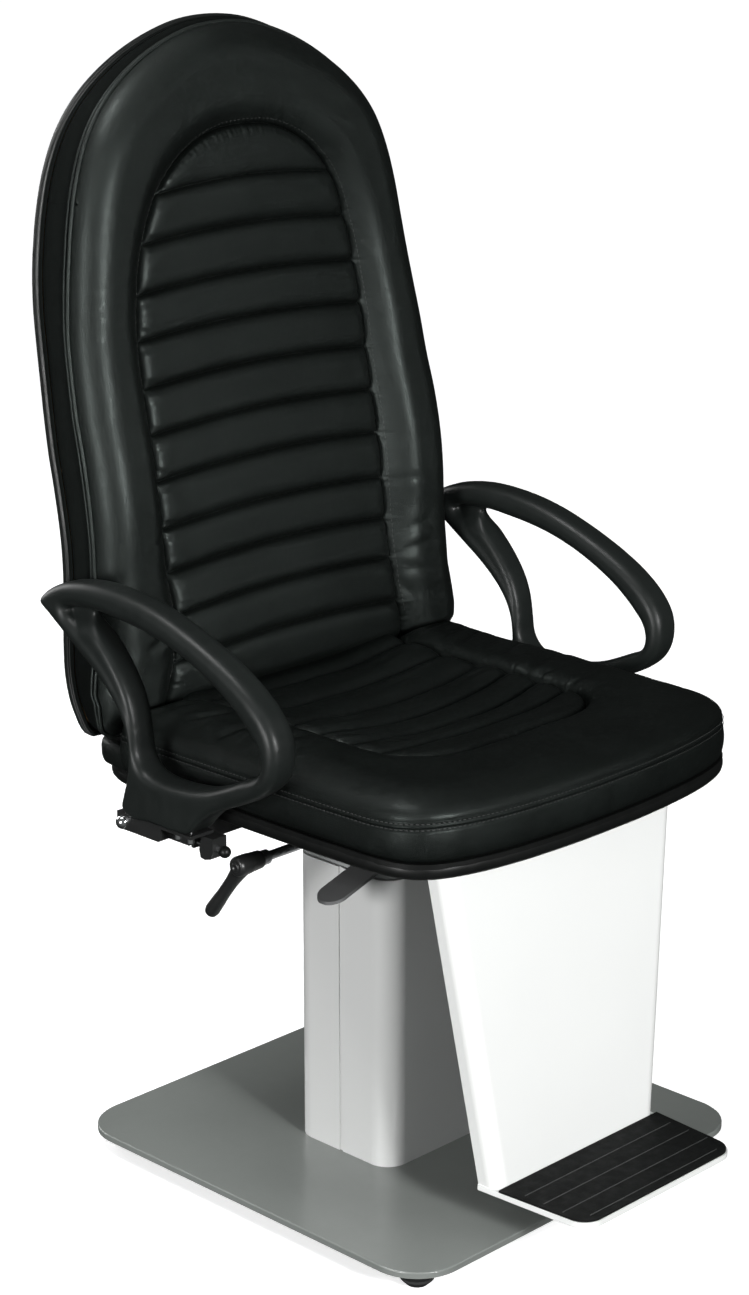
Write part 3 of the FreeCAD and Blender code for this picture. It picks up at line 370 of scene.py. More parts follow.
# ------------------------------------------------------------------ mesh helpers, all in millimetres about the column's axis
class Builder:
    def __init__(self):
        self.v, self.f, self.m, self.n = [], [], [], 0

    def add(self, verts, faces, mat=0):
        verts = np.asarray(verts, float).reshape(-1, 3)
        b = self.n
        self.v.append(verts)
        self.f += [tuple(int(i) + b for i in f) for f in faces]
        self.m += [mat] * len(faces)
        self.n += len(verts)

    def grid(self, G, mat=0, closed=False, flip=False):
        G = np.asarray(G, float)
        nu, nv = G.shape[:2]
        idx = np.arange(nu * nv).reshape(nu, nv)
        if closed:
            idx = np.vstack([idx, idx[:1]])
        a, b, c, d = idx[:-1, :-1], idx[1:, :-1], idx[1:, 1:], idx[:-1, 1:]
        q = np.stack([a, d, c, b] if flip else [a, b, c, d], -1).reshape(-1, 4)
        self.add(G.reshape(-1, 3), q.tolist(), mat)

    def build(self, name, mats, weld=0.00002, outward=True):
        v = np.vstack(self.v)
        v = np.stack([v[:, 0] / 1000.0, (v[:, 1] + SHIFT) / 1000.0, v[:, 2] / 1000.0], 1)
        me = bpy.data.meshes.new(name)
        me.from_pydata(v.tolist(), [], self.f)
        me.polygons.foreach_set("material_index", self.m)
        b = bmesh.new()
        b.from_mesh(me)
        bmesh.ops.remove_doubles(b, verts=b.verts, dist=weld)
        bmesh.ops.dissolve_degenerate(b, edges=b.edges, dist=1e-7)
        if outward:
            bmesh.ops.recalc_face_normals(b, faces=b.faces)
        b.to_mesh(me)
        b.free()
        me.polygons.foreach_set("use_smooth", [True] * len(me.polygons))
        for m in mats:
            me.materials.append(m.m)
        o = bpy.data.objects.new(name, me)
        S.collection.objects.link(o)
        return o


def closed_curve(pts, step):
    """Smooth closed curve through the points, chord-length tangents."""
    P = np.array(pts, float)
    n = len(P)
    h = np.linalg.norm(np.roll(P, -1, 0) - P, axis=1)
    d = (np.roll(P, -1, 0) - P) / h[:, None]
    hp, dp = np.roll(h, 1), np.roll(d, 1, 0)
    m = (dp * h[:, None] + d * hp[:, None]) / (h + hp)[:, None]
    out = []
    for i in range(n):
        k = max(1, int(round(h[i] / step)))
        t = (np.arange(k) / k)[:, None]
        p0, p1, m0, m1 = P[i], P[(i + 1) % n], m[i] * h[i], m[(i + 1) % n] * h[i]
        out.append((2 * t**3 - 3 * t**2 + 1) * p0 + (t**3 - 2 * t**2 + t) * m0 + (-2 * t**3 + 3 * t**2) * p1 + (t**3 - t**2) * m1)
    return np.vstack(out)


def open_curve(pts, step):
    P = np.array(pts, float)
    h = np.linalg.norm(P[1:] - P[:-1], axis=1)
    d = (P[1:] - P[:-1]) / h[:, None]
    m = np.zeros_like(P)
    m[1:-1] = (d[:-1] * h[1:, None] + d[1:] * h[:-1, None]) / (h[1:] + h[:-1])[:, None]
    m[0], m[-1] = d[0], d[-1]
    out = []
    for i in range(len(P) - 1):
        k = max(1, int(round(h[i] / step)))
        t = (np.arange(k) / k)[:, None]
        out.append((2 * t**3 - 3 * t**2 + 1) * P[i] + (t**3 - 2 * t**2 + t) * m[i] * h[i] + (-2 * t**3 + 3 * t**2) * P[i + 1] + (t**3 - t**2) * m[i + 1] * h[i])
    out.append(P[-1:])
    return np.vstack(out)


def outline(half):
    return list(half) + [(-x, y) for x, y in half[1:-1]][::-1]


def offset_loop(P, d):
    """Closed loop moved by d towards its inside."""
    t = np.roll(P, -1, 0) - np.roll(P, 1, 0)
    t /= np.linalg.norm(t, axis=1)[:, None]
    area2 = np.sum(P[:, 0] * np.roll(P[:, 1], -1) - np.roll(P[:, 0], -1) * P[:, 1])
    nrm = np.stack([-t[:, 1], t[:, 0]], 1) * (1 if area2 > 0 else -1)
    return P + nrm * d


def loop_dist(P, L, closed=True):
    """Distance from points to a polyline, and the nearest arc position 0-1."""
    A = L
    B = np.roll(L, -1, 0) if closed else L[1:]
    A = A if closed else L[:-1]
    AB = B - A
    ll = np.maximum((AB**2).sum(1), 1e-12)
    seg = np.sqrt(ll)
    s0 = np.concatenate([[0], np.cumsum(seg)[:-1]])
    tot = seg.sum()
    dist = np.empty(len(P))
    pos = np.empty(len(P))
    for i in range(0, len(P), 4000):
        Q = P[i:i + 4000]
        w = Q[:, None, :] - A[None]
        t = np.clip((w * AB[None]).sum(2) / ll[None], 0, 1)
        e = w - t[..., None] * AB[None]
        dd = (e**2).sum(2)
        k = dd.argmin(1)
        r = np.arange(len(Q))
        dist[i:i + 4000] = np.sqrt(dd[r, k])
        pos[i:i + 4000] = (s0[k] + t[r, k] * seg[k]) / tot
    return dist, pos


def inside(P, L):
    x, y = P[:, 0], P[:, 1]
    A, B = L, np.roll(L, -1, 0)
    c = np.zeros(len(P), bool)
    for (x0, y0), (x1, y1) in zip(A, B):
        if y0 == y1:
            continue
        hit = ((y0 > y) != (y1 > y)) & (x < (x1 - x0) * (y - y0) / (y1 - y0) + x0)
        c ^= hit
    return c


def E(q):
    """Quarter of an ellipse, 0 at 0 and 1 from 1 on."""
    return np.sqrt(np.maximum(0.0, 1 - (1 - np.clip(q, 0, 1)) ** 2))


def smooth(q):
    q = np.clip(q, 0, 1)
    return q * q * (3 - 2 * q)


class Waves:
    """Soft irregular undulation, a sum of plane waves."""
    def __init__(self, wavelengths, n=10):
        self.k, self.p, self.a = [], [], []
        for lo, hi, amp in wavelengths:
            for _ in range(n):
                a, l = RNG.uniform(0, math.pi), RNG.uniform(lo, hi)
                self.k.append((2 * math.pi / l * math.cos(a), 2 * math.pi / l * math.sin(a)))
                self.p.append(RNG.uniform(0, 2 * math.pi))
                self.a.append(amp / math.sqrt(n))
    def __call__(self, P):
        out = np.zeros(len(P))
        for k, p, a in zip(self.k, self.p, self.a):
            out += a * np.sin(P[:, 0] * k[0] + P[:, 1] * k[1] + p)
        return out


def crease(P, lines):
    """Wrinkles along polylines: (points, depth, half width). A fold with soft shoulders."""
    out = np.zeros(len(P))
    for pts, depth, w in lines:
        L = open_curve(pts, 4.0) if len(pts) > 2 else np.array(pts, float)
        lo, hi = L.min(0) - 6 * w, L.max(0) + 6 * w
        sel = np.all((P > lo) & (P < hi), axis=1)
        if not sel.any():
            continue
        d, s = loop_dist(P[sel], L, closed=False)
        taper = np.sqrt(np.clip(np.sin(np.pi * np.clip(s, 0.02, 0.98)), 0, 1))
        out[sel] += taper * depth * (-np.exp(-(d / w) ** 2) + 0.55 * np.exp(-(((d - 2.3 * w) / (1.3 * w)) ** 2)))
    return out


def tube(b, path, r, mat=0, seg=8, closed=True, ry=None, up=(0, 0, 1)):
    P = np.asarray(path, float)
    n = len(P)
    if closed:
        T = np.roll(P, -1, 0) - np.roll(P, 1, 0)
    else:
        T = np.gradient(P, axis=0)
    T /= np.linalg.norm(T, axis=1)[:, None]
    U = np.cross(np.cross(T, np.array(up, float)), T)
    U /= np.maximum(np.linalg.norm(U, axis=1)[:, None], 1e-9)
    V = np.cross(T, U)
    a = np.arange(seg) / seg * 2 * math.pi
    ry = r if ry is None else ry
    G = P[:, None, :] + (U[:, None, :] * np.cos(a)[None, :, None] * ry + V[:, None, :] * np.sin(a)[None, :, None] * r)
    G = np.concatenate([G, G[:, :1]], 1)
    b.grid(G, mat, closed=closed)
    if not closed:
        for k in (0, n - 1):
            b.add(np.vstack([G[k, :-1], P[k:k + 1]]), [(i, (i + 1) % seg, seg) for i in range(seg)], mat)


def resample(path, step, closed=True):
    P = np.asarray(path, float)
    Q = np.vstack([P, P[:1]]) if closed else P
    s = np.concatenate([[0], np.cumsum(np.linalg.norm(np.diff(Q, axis=0), axis=1))])
    n = max(3, int(round(s[-1] / step)))
    u = np.linspace(0, s[-1], n, endpoint=not closed)
    return np.stack([np.interp(u, s, Q[:, i]) for i in range(Q.shape[1])], 1)


def stitches(b, path, normal, pitch, length, r, mat, closed=True, lift=0.0):
    """Short raised stitches along a path; normal is the outward direction at each path point."""
    P = resample(path, pitch, closed)
    d = ((P[:, None, :] - np.asarray(path)[None, :, :]) ** 2).sum(2).argmin(1)
    Nn = np.asarray(normal)[d]
    T = np.roll(P, -1, 0) - np.roll(P, 1, 0) if closed else np.gradient(P, axis=0)
    T /= np.maximum(np.linalg.norm(T, axis=1)[:, None], 1e-9)
    Bn = np.cross(T, Nn)
    a = np.arange(6) / 6 * 2 * math.pi
    for i in range(len(P)):
        c = P[i] + Nn[i] * lift
        ring = [c + T[i] * s * length / 2 + (Bn[i] * math.cos(q) + Nn[i] * math.sin(q)) * r * k for s, k in ((-0.62, 0.8), (0.62, 0.8)) for q in a]
        vs = ring + [c - T[i] * length / 2, c + T[i] * length / 2]
        fs = [(j, (j + 1) % 6, 6 + (j + 1) % 6, 6 + j) for j in range(6)]
        fs += [((j + 1) % 6, j, 12) for j in range(6)] + [(6 + j, 6 + (j + 1) % 6, 13) for j in range(6)]
        b.add(vs, fs, mat)


# ------------------------------------------------------------------ measured curves of the soft parts
YP = np.array([(203, 497), (203, 524), (203, 545), (204, 563), (205, 585), (207, 613), (209.5, 640), (211.5, 671), (212.5, 705),
      (215, 735), (218, 757), (221.5, 777), (226.5, 800), (237, 839), (245, 879), (253, 920), (258.2, 960), (261.8, 1001),
      (264.6, 1041), (267.4, 1081), (270.6, 1120), (276, 1158), (282, 1195), (288, 1236)], float)
YS = np.array([(222, 494), (231, 503), (239.5, 515), (246, 526), (251.5, 541), (255.5, 560), (256.8, 585), (256.5, 615), (255.5, 645),
      (255, 671), (256.5, 700), (260, 727), (264, 749), (268.5, 770), (274, 792), (281.5, 831), (288.7, 873), (297, 914),
      (305.5, 950), (310.5, 980), (313.5, 1015), (315.5, 1056), (316.5, 1096), (317.5, 1140), (318, 1190), (317.5, 1240)], float)
BACK_HALF = [(0, 1232), (46, 1228), (81, 1218.5), (117, 1204), (150, 1185.5), (174, 1168), (194, 1149), (212.5, 1125), (231, 1087),
             (243, 1045), (250.8, 1003), (257.3, 960), (262.6, 920), (265.8, 880), (267.8, 840), (269.2, 800), (270.5, 757),
             (271, 700), (271.2, 640), (272, 590), (272.5, 550), (272, 522), (269, 504.5), (259, 497), (243, 495.5), (215, 495.5), (165, 495.5),
             (110, 495.5), (55, 495.5), (0, 495.5)]
SEAT_HALF = [(0, -283), (50, -282.3), (100, -279.3), (150, -273.4), (188, -265.2), (216, -255), (237, -240.5),
             (250, -220), (255.5, -196), (258, -160), (259.5, -100), (260, -40), (260, 20), (260, 80), (259.5, 125),
             (259.5, 165), (259, 192), (256, 214), (246.5, 229), (229, 235.2), (200, 236), (165, 236), (110, 236), (55, 236), (0, 236)]
_yp = open_curve(YP, 3.0)
_ys = open_curve(YS, 3.0)


def yp(z):
    return np.interp(z, _yp[:, 1], _yp[:, 0])


def ys(z):
    return np.interp(z, _ys[:, 1], _ys[:, 0])


BACK = closed_curve(outline(BACK_HALF), 4.0)


# ------------------------------------------------------------------ back cushion
FRONT_INSET = np.array([(490, 2.0), (545, 2.0), (565, 5.0), (595, 10.5), (700, 11.5), (800, 11.0), (900, 11.0), (1000, 11.5), (1080, 11.0), (1150, 9.0), (1240, 7.5)], float)


def front_inset(z):
    return np.interp(z, FRONT_INSET[:, 0], FRONT_INSET[:, 1])


def drawn_in(P, by_z):
    """The loop moved towards its inside by a distance that depends on the height."""
    n = offset_loop(P, 1.0) - P
    return P + n * by_z(P[:, 1])[:, None]


CUT = drawn_in(BACK, front_inset)
SEAM = open_curve([(0, 1119), (34, 1116.5), (66, 1107), (94, 1091), (114, 1073), (128, 1056), (141, 1031), (150.5, 1004), (157.5, 978), (161.5, 952), (164.8, 928),
                   (167, 904), (168, 880), (168, 854), (168, 830), (168, 805), (168.5, 780), (169, 756), (168.8, 730), (168.5, 705), (168, 680),
                   (167.5, 658), (166, 635), (166, 613), (168, 590), (172, 565), (177, 545), (181, 525), (184, 497.5)], 4.0)
HS = np.array([(480, 6), (560, 14), (613, 13), (658, 6), (705, 1), (756, -1), (805, 1), (854, 4), (904, 6), (952, 7), (1004, 8), (1056, 12), (1120, 14)], float)
CH = np.array([562, 613, 658, 705, 756, 805, 854, 904, 952, 1004, 1056], float)
CHD = np.concatenate([[512], CH, [1130]])
back_waves = Waves([(90, 190, 0.35), (26, 50, 0.06)])
back_fine = Waves([(9, 18, 0.05)], 14)
BACK_WRINKLES = [
    ([(174, 619), (190, 625), (206, 628), (224, 626)], 1.0, 4.0),
    ([(170, 596), (186, 600), (204, 598), (228, 588)], 0.9, 4.5),
    ([(171, 590), (180, 578), (188, 566), (194, 550)], 1.2, 4.0),
    ([(176, 640), (196, 651), (214, 655)], 0.8, 5.0),
    ([(176, 575), (200, 572), (232, 560)], 0.7, 6.0),
    ([(236, 640), (246, 610), (250, 575)], 0.8, 7.0),
    ([(-174, 617), (-192, 625), (-214, 627)], 2.2, 4.0),
    ([(-171, 594), (-190, 600), (-224, 590)], 2.2, 4.5),
    ([(-172, 588), (-183, 572), (-192, 553)], 1.8, 3.5),
    ([(172, 700), (188, 706), (204, 704)], 0.6, 4.5),
    ([(-172, 698), (-190, 704), (-208, 700)], 1.0, 4.0),
    ([(150, 612), (164, 606)], 1.4, 3.0),
    ([(148, 566), (168, 560)], 1.6, 3.0),
]
for k, zc in enumerate(CH):
    for sgn in (-1, 1):
        u = float(np.interp(-zc, -SEAM[:, 1], SEAM[:, 0]))
        for dz in (9 + 5 * math.sin(k * 2.1), -11 + 4 * math.cos(k * 1.7)):
            BACK_WRINKLES.append(([(sgn * (u - 1), zc + dz), (sgn * (u - 16), zc + dz * 0.75)], 0.9, 2.6))


def seam_u(z):
    return np.interp(-z, -SEAM[:, 1], SEAM[:, 0])


def back_height(P):
    """Height of the padded front, forward of the piping plane, at (x, z)."""
    x, z = P[:, 0], P[:, 1]
    d, _ = loop_dist(P, CUT)
    A = np.stack([np.abs(x), z], 1)
    ds, s = loop_dist(A, SEAM, closed=False)
    inner = (np.abs(x) < seam_u(np.clip(z, 497.6, 1118.9))) & (z < 1119)
    hs = np.interp(z, HS[:, 0], HS[:, 1])
    crown = 33.0 + 1.5 * np.sin((z - 500) / 150.0)
    out = crown * E(d / 34.0)
    k = np.sin(math.pi / 2 * np.clip(ds / 36.0, 0, 1))
    bol = hs * (1 - k) + out * k
    u = np.maximum(seam_u(z), 1.0)
    q = np.clip(1 - (x / u) ** 2, 0, 1)
    zz = z - 9.0 * q * smooth((z - 500) / 60)
    j = np.clip(np.searchsorted(CHD, zz) - 1, 0, len(CHD) - 2)
    lo, hi = CHD[j], CHD[j + 1]
    tau = np.clip((zz - lo) / (hi - lo), 0, 1)
    rib = 1 - np.abs(2 * tau - 1) ** 4.2
    top = j == len(CHD) - 2
    rib = np.where(top, E((zz - lo) / 24.0), rib)
    edge = 0.08 + 0.92 * E(ds / 20.0)
    near = np.minimum(np.abs(zz - lo), np.abs(hi - zz))
    near = np.where(top, np.abs(zz - lo), near)
    line = np.exp(-(near / 1.3) ** 2) * smooth(ds / 3.0)
    tuck = np.sin(x * 0.83 + j * 1.7) * 0.35 + np.sin(x * 0.47 + j * 2.9) * 0.4
    quilt = hs + 0.6 + edge * (7.8 * rib) - 2.2 * line + tuck * np.exp(-(near / 5.0) ** 2) * rib ** 0.3 + 3.5 * q * smooth(ds / 60.0)
    h = np.where(inner, quilt, bol)
    h = h - 2.9 * np.exp(-(ds / 1.5) ** 2) - 0.8 * np.exp(-(ds / 5.0) ** 2)
    pucker = np.sin(s * 620.0) * 0.35 + np.sin(s * 391.0 + 1.3) * 0.3
    h = h + pucker * np.exp(-(ds / 8.0) ** 2) * smooth(ds / 2.0)
    soft = smooth(d / 25.0)
    h = h + soft * back_waves(P) + soft * back_fine(P) + soft * crease(P, BACK_WRINKLES)
    # clear of the seat cushion's rounded rear edge
    room = yp(z) - 188.0 + 50.0 * (1 - np.sqrt(1 - np.clip((z - 503.0) / 29.0, 0, 0.995) ** 2)) - 4.0
    room = np.minimum(room, 60.0)
    k = 5.0
    return -k * np.logaddexp(-h / k, -room / k)


def levels(n, a=0.0, b=1.0, ends=(True, True)):
    """0..1 with finer spacing towards the chosen ends."""
    t = np.linspace(0, 1, n)
    if ends == (True, True):
        t = (1 - np.cos(math.pi * t)) / 2
    elif ends == (False, True):
        t = np.sin(math.pi / 2 * t)
    elif ends == (True, False):
        t = 1 - np.cos(math.pi / 2 * t)
    return a + (b - a) * t


def ray_hit(C, D, L):
    """First crossing of the rays C + t D with the polyline L."""
    A, B = L[:-1], L[1:]
    out = []
    for c, d in zip(C, D):
        e = B - A
        den = d[0] * e[:, 1] - d[1] * e[:, 0]
        den = np.where(np.abs(den) < 1e-12, 1e-12, den)
        w = A - c
        t = (w[:, 0] * e[:, 1] - w[:, 1] * e[:, 0]) / den
        s = (w[:, 0] * d[1] - w[:, 1] * d[0]) / den
        ok = (s >= -1e-6) & (s <= 1 + 1e-6) & (t > 0)
        out.append(t[ok].min() if ok.any() else 1.0)
    return np.array(out)


def sheet_half(cut, seam, centre, bottom, knots, sub, fan_step, n_in, n_out, fan_first=True):
    """One half (x >= 0) of a padded sheet: rows of constant second coordinate below the centre, a fan above it.
    Returns an array (rows, levels, 2). Levels run from the middle line over the seam to the cut edge."""
    half = cut[cut[:, 0] >= -1e-6]
    top = half[half[:, 1] > centre]
    top = top[np.argsort(np.arctan2(top[:, 0], top[:, 1] - centre))]
    low = half[half[:, 1] <= centre]
    low = low[np.argsort(-low[:, 1], kind="stable")]
    side = low[low[:, 0] > 150]
    fan = resample(np.vstack([[[0.0, top[0, 1]]], top[top[:, 0] > 0.5], [[np.interp(-centre, -side[:, 1], side[:, 0]), centre]]]), fan_step, closed=False)
    vals = []
    for a, b in zip(knots[:-1], knots[1:]):
        vals += list(levels(sub, a, b)[:-1])
    vals.append(knots[-1])
    vals = np.array(vals)
    side_x = np.interp(-vals, -side[:, 1], side[:, 0])
    C = np.vstack([np.tile([[0.0, centre]], (len(fan) - 1, 1)), np.stack([np.zeros(len(vals)), vals], 1)])
    O = np.vstack([fan[:-1], np.stack([side_x, vals], 1)])
    D = O - C
    ts = np.concatenate([ray_hit(C[:len(fan) - 1], D[:len(fan) - 1], seam),
                         np.interp(-vals, -seam[:, 1], seam[:, 0]) / side_x])
    ti = levels(n_in, ends=(False, True))
    to = levels(n_out)
    G = []
    for c, d, t in zip(C, D, ts):
        tt = np.concatenate([ti * t, t + to[1:] * (1 - t)])
        G.append(c[None] + tt[:, None] * d[None])
    return np.array(G), len(fan) - 1


BOTTOM = 497.5
knots = [1056.0] + list(CH[:-1][::-1]) + [536.0, BOTTOM]
G2, nf = sheet_half(CUT, SEAM, 1056.0, BOTTOM, knots, 25, 4.0, 34, 58)


def arch(G, sgn):
    """Bend the rows so that they follow the channels."""
    P = G.reshape(-1, 2).copy()
    u = np.maximum(seam_u(P[:, 1]), 1.0)
    q = np.clip(1 - (P[:, 0] / u) ** 2, 0, 1)
    w = 9.0 * q * smooth((P[:, 1] - 500) / 60) * (P[:, 1] <= 1056.01)
    fade = (P[:, 1] > 1056.01) & (P[:, 1] < 1119)
    w = np.where(fade, 9.0 * q * (1 - smooth((P[:, 1] - 1056) / 60)), w)
    P[:, 1] += w
    P[:, 0] *= sgn
    return P.reshape(G.shape)


b = Builder()
for sgn in (1, -1):
    P = arch(G2, sgn)
    h = back_height(P.reshape(-1, 2)).reshape(P.shape[:2])
    y = yp(P[..., 1]) - h
    b.grid(np.stack([P[..., 0], y, P[..., 1]], -1), 0, flip=sgn < 0)
# boundary loop: from the middle of the top, down the sitter's left, along the bottom, up the other side
edge = [G2[:, -1, :], G2[-1, ::-1, :][1:]]
edge = np.vstack(edge)
loop = np.vstack([edge, (edge * [-1, 1])[::-1][1:-1]])
inward = offset_loop(loop, 1.0) - loop
inward /= np.maximum(np.linalg.norm(inward, axis=1)[:, None], 1e-9)


def back_wall(depths):
    """Rings behind the padded front: (share of the way to the shell, outward bulge in mm)."""
    z = loop[:, 1]
    y0 = yp(z) - 6.0 * smooth((545.0 - z) / 12.0)
    y1 = ys(z) - 15.6
    rings = []
    for q, out in depths:
        grow = (front_inset(z) - 2.0) * smooth((q - 0.20) / 0.75)
        p = loop - inward * (out + grow)[:, None]
        rings.append(np.stack([p[:, 0], y0 + (y1 - y0) * q, p[:, 1]], 1))
    return rings


prof = [(0.0, 0.0), (0.03, -0.6), (0.08, -1.2), (0.13, 0.0), (0.2, -0.9), (0.26, -1.4), (0.31, -0.8), (0.45, -0.6), (0.62, -0.5), (0.8, -0.5), (0.94, -1.0), (1.0, -1.8)]
rings = back_wall(prof)
edge_y = yp(loop[:, 1]) - back_height(loop)
first = rings[0].copy()
first[:, 1] = edge_y
b.grid(np.stack([first] + rings[1:], 1), 1, closed=True)
# plain back face, hidden against the board
back_ring = rings[-1]
mid = np.stack([np.zeros(len(loop)), ys(np.clip(loop[:, 1], 520, 1100)) - 15.6, np.clip(loop[:, 1], 520, 1100)], 1)
b.grid(np.stack([back_ring, (back_ring + mid) / 2, mid], 1), 1, closed=True)
# piping along both edges of the band next to the padded front
pipe_pts = {}
for q, r, out in ((0.055, 2.3, 0.9), (0.235, 1.9, 0.7)):
    ring = back_wall([(q, out)])[0]
    ring = resample(ring, 4.0)
    tube(b, ring, r, 2, seg=8, up=(0, 1, 0))
back_cushion = b.build("back_cushion_soft", [M["black_leather"], M["boxing_leather_shade"], M["piping_leather"]], outward=True)
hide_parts("back_cushion")
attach(back_cushion, "backrest")

# stitches beside the inner seam, on the padded border
b = Builder()
for sgn in (1, -1):
    L = resample(SEAM[SEAM[:, 1] > 545], 2.0, closed=False)
    T = np.gradient(L, axis=0)
    T /= np.linalg.norm(T, axis=1)[:, None]
    out = np.stack([T[:, 1] * -1.0, T[:, 0]], 1)
    out *= np.sign((out * (L - [0, 800])).sum(1))[:, None]
    Q = (L + out * 5.5) * [sgn, 1]
    h = back_height(Q)
    path = np.stack([Q[:, 0], yp(Q[:, 1]) - h - 0.1, Q[:, 1]], 1)
    h2 = back_height(Q + out * [sgn, 1] * 1.5)
    slope = (h2 - h) / 1.5
    nrm = np.stack([-slope * out[:, 0] * sgn * -1.0, -np.ones(len(Q)), -slope * out[:, 1] * -1.0], 1)
    nrm[:, 0] *= -1
    nrm[:, 2] *= -1
    nrm /= np.linalg.norm(nrm, axis=1)[:, None]
    stitches(b, path, nrm, 6.0, 4.2, 0.45, 0, closed=False)
st = b.build("back_stitching", [M["thread"]])
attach(st, "backrest")


# ------------------------------------------------------------------ back shell
b = Builder()
RS = 2.6
SHELL_HALF = [p for p in BACK_HALF if p[1] > 540.0] + [(272.8, 518), (272.6, 503), (271.2, 497.6), (266.0, 495.6), (250, 495.5), (215, 495.5), (165, 495.5), (110, 495.5), (55, 495.5), (0, 495.5)]
SHELL = closed_curve(outline(SHELL_HALF), 4.0)
no_seam = np.array([(0, 1100.0), (60, 1080), (120, 1040), (150, 980), (150, 497)], float)
GS, nf = sheet_half(SHELL, no_seam, 1000.0, 495.5, [1000.0, 900.0, 800.0, 700.0, 600.0, 540.0, 495.6], 12, 9.0, 12, 26)
for sgn in (1, -1):
    P = GS * [sgn, 1]
    d, _ = loop_dist(P.reshape(-1, 2), SHELL)
    d = d.reshape(P.shape[:2])
    drop = RS * (1 - E(d / RS)) + 1.5 * (1 - smooth(d / 60.0))
    y = ys(P[..., 1]) - drop + 0.9
    b.grid(np.stack([P[..., 0], y, P[..., 1]], -1), 0, flip=sgn > 0)
edge = np.vstack([GS[:, -1, :], GS[-1, ::-1, :][1:]])
sl = np.vstack([edge, (edge * [-1, 1])[::-1][1:-1]])
inw = offset_loop(sl, 1.0) - sl
inw /= np.maximum(np.linalg.norm(inw, axis=1)[:, None], 1e-9)
yr = ys(sl[:, 1])
prof = [(0.0, -(RS + 0.6)), (-0.05, -7.0), (-0.1, -7.8), (0.15, -8.5), (0.7, -9.0), (1.5, -9.2), (2.0, -9.5), (2.2, -10.2)]
# the inner strip of the lip takes the darker boxing leather (material 1): painted shade that carries the boxing's dark
# band out to the lip
prof2 = [(2.2, -10.2), (2.3, -12.0), (2.4, -14.4), (2.7, -15.2), (3.3, -15.4), (3.8, -14.6), (4.0, -13.0), (4.0, -6.0)]
for pr, mi in ((prof, 0), (prof2, 1)):
    rings = []
    for ins, dy in pr:
        p = sl + inw * ins
        rings.append(np.stack([p[:, 0], yr + dy, p[:, 1]], 1))
    b.grid(np.stack(rings, 1), mi, closed=True)
mid = np.stack([np.zeros(len(sl)), ys(np.clip(sl[:, 1], 520, 1100)) - 6.0, np.clip(sl[:, 1], 520, 1100)], 1)
b.grid(np.stack([rings[-1], (rings[-1] + mid) / 2, mid], 1), 0, closed=True)
shell = b.build("back_shell_moulded", [M["shell_plastic"], M["boxing_leather_shade"]])
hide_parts("back_shell")
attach(shell, "backrest")


# ------------------------------------------------------------------ seat cushion
SEATC = closed_curve(outline(SEAT_HALF), 4.0)
PAN_HALF = SEAT_HALF[:-11] + [(259.5, 125), (258, 162), (253.5, 192), (243, 214), (225, 229), (200, 235), (165, 236), (110, 236), (55, 236), (0, 236)]
PANC = closed_curve(outline(PAN_HALF), 4.0)
REAR = 188.0
S2 = offset_loop(SEATC, 2.0)
# the thick part ends in a straight rear edge with small corner radii
rc = 14.0
sx = float(np.interp(REAR - rc, S2[S2[:, 0] > 200][:, 1][np.argsort(S2[S2[:, 0] > 200][:, 1])], S2[S2[:, 0] > 200][:, 0][np.argsort(S2[S2[:, 0] > 200][:, 1])]))
right = S2[(S2[:, 0] > 0) & (S2[:, 1] < REAR - rc)]
right = right[np.argsort(np.arctan2(right[:, 1], right[:, 0]))]
corner = [(sx - rc + rc * math.cos(math.radians(a)), REAR - rc + rc * math.sin(math.radians(a))) for a in range(0, 91, 10)]
half = np.vstack([right, corner, [[x, REAR] for x in (200, 150, 100, 50, 0)]])
half[:, 1] *= -1                     # flipped, so that the front of the seat is the fan's side
SCUT = np.vstack([[[0.0, -S2[:, 1].min()]], half])
SCUT = np.vstack([SCUT, (SCUT[1:-1] * [-1, 1])[::-1]])
SSEAM = open_curve([(0, 160), (40, 160), (84, 158.5), (108, 152), (127, 141), (141, 125), (149, 107), (152, 88), (153, 60), (153, 20), (153, -30),
                    (155, -80), (158, -120), (162, -160), (166, -188)], 4.0)
SCH = np.array([-160, -98, -38, 5, 48, 88], float)       # flipped: front is positive
SCHD = np.concatenate([[-215], SCH, [165]])
seat_waves = Waves([(70, 150, 0.8), (20, 44, 0.22)])
seat_fine = Waves([(8, 18, 0.07)], 14)
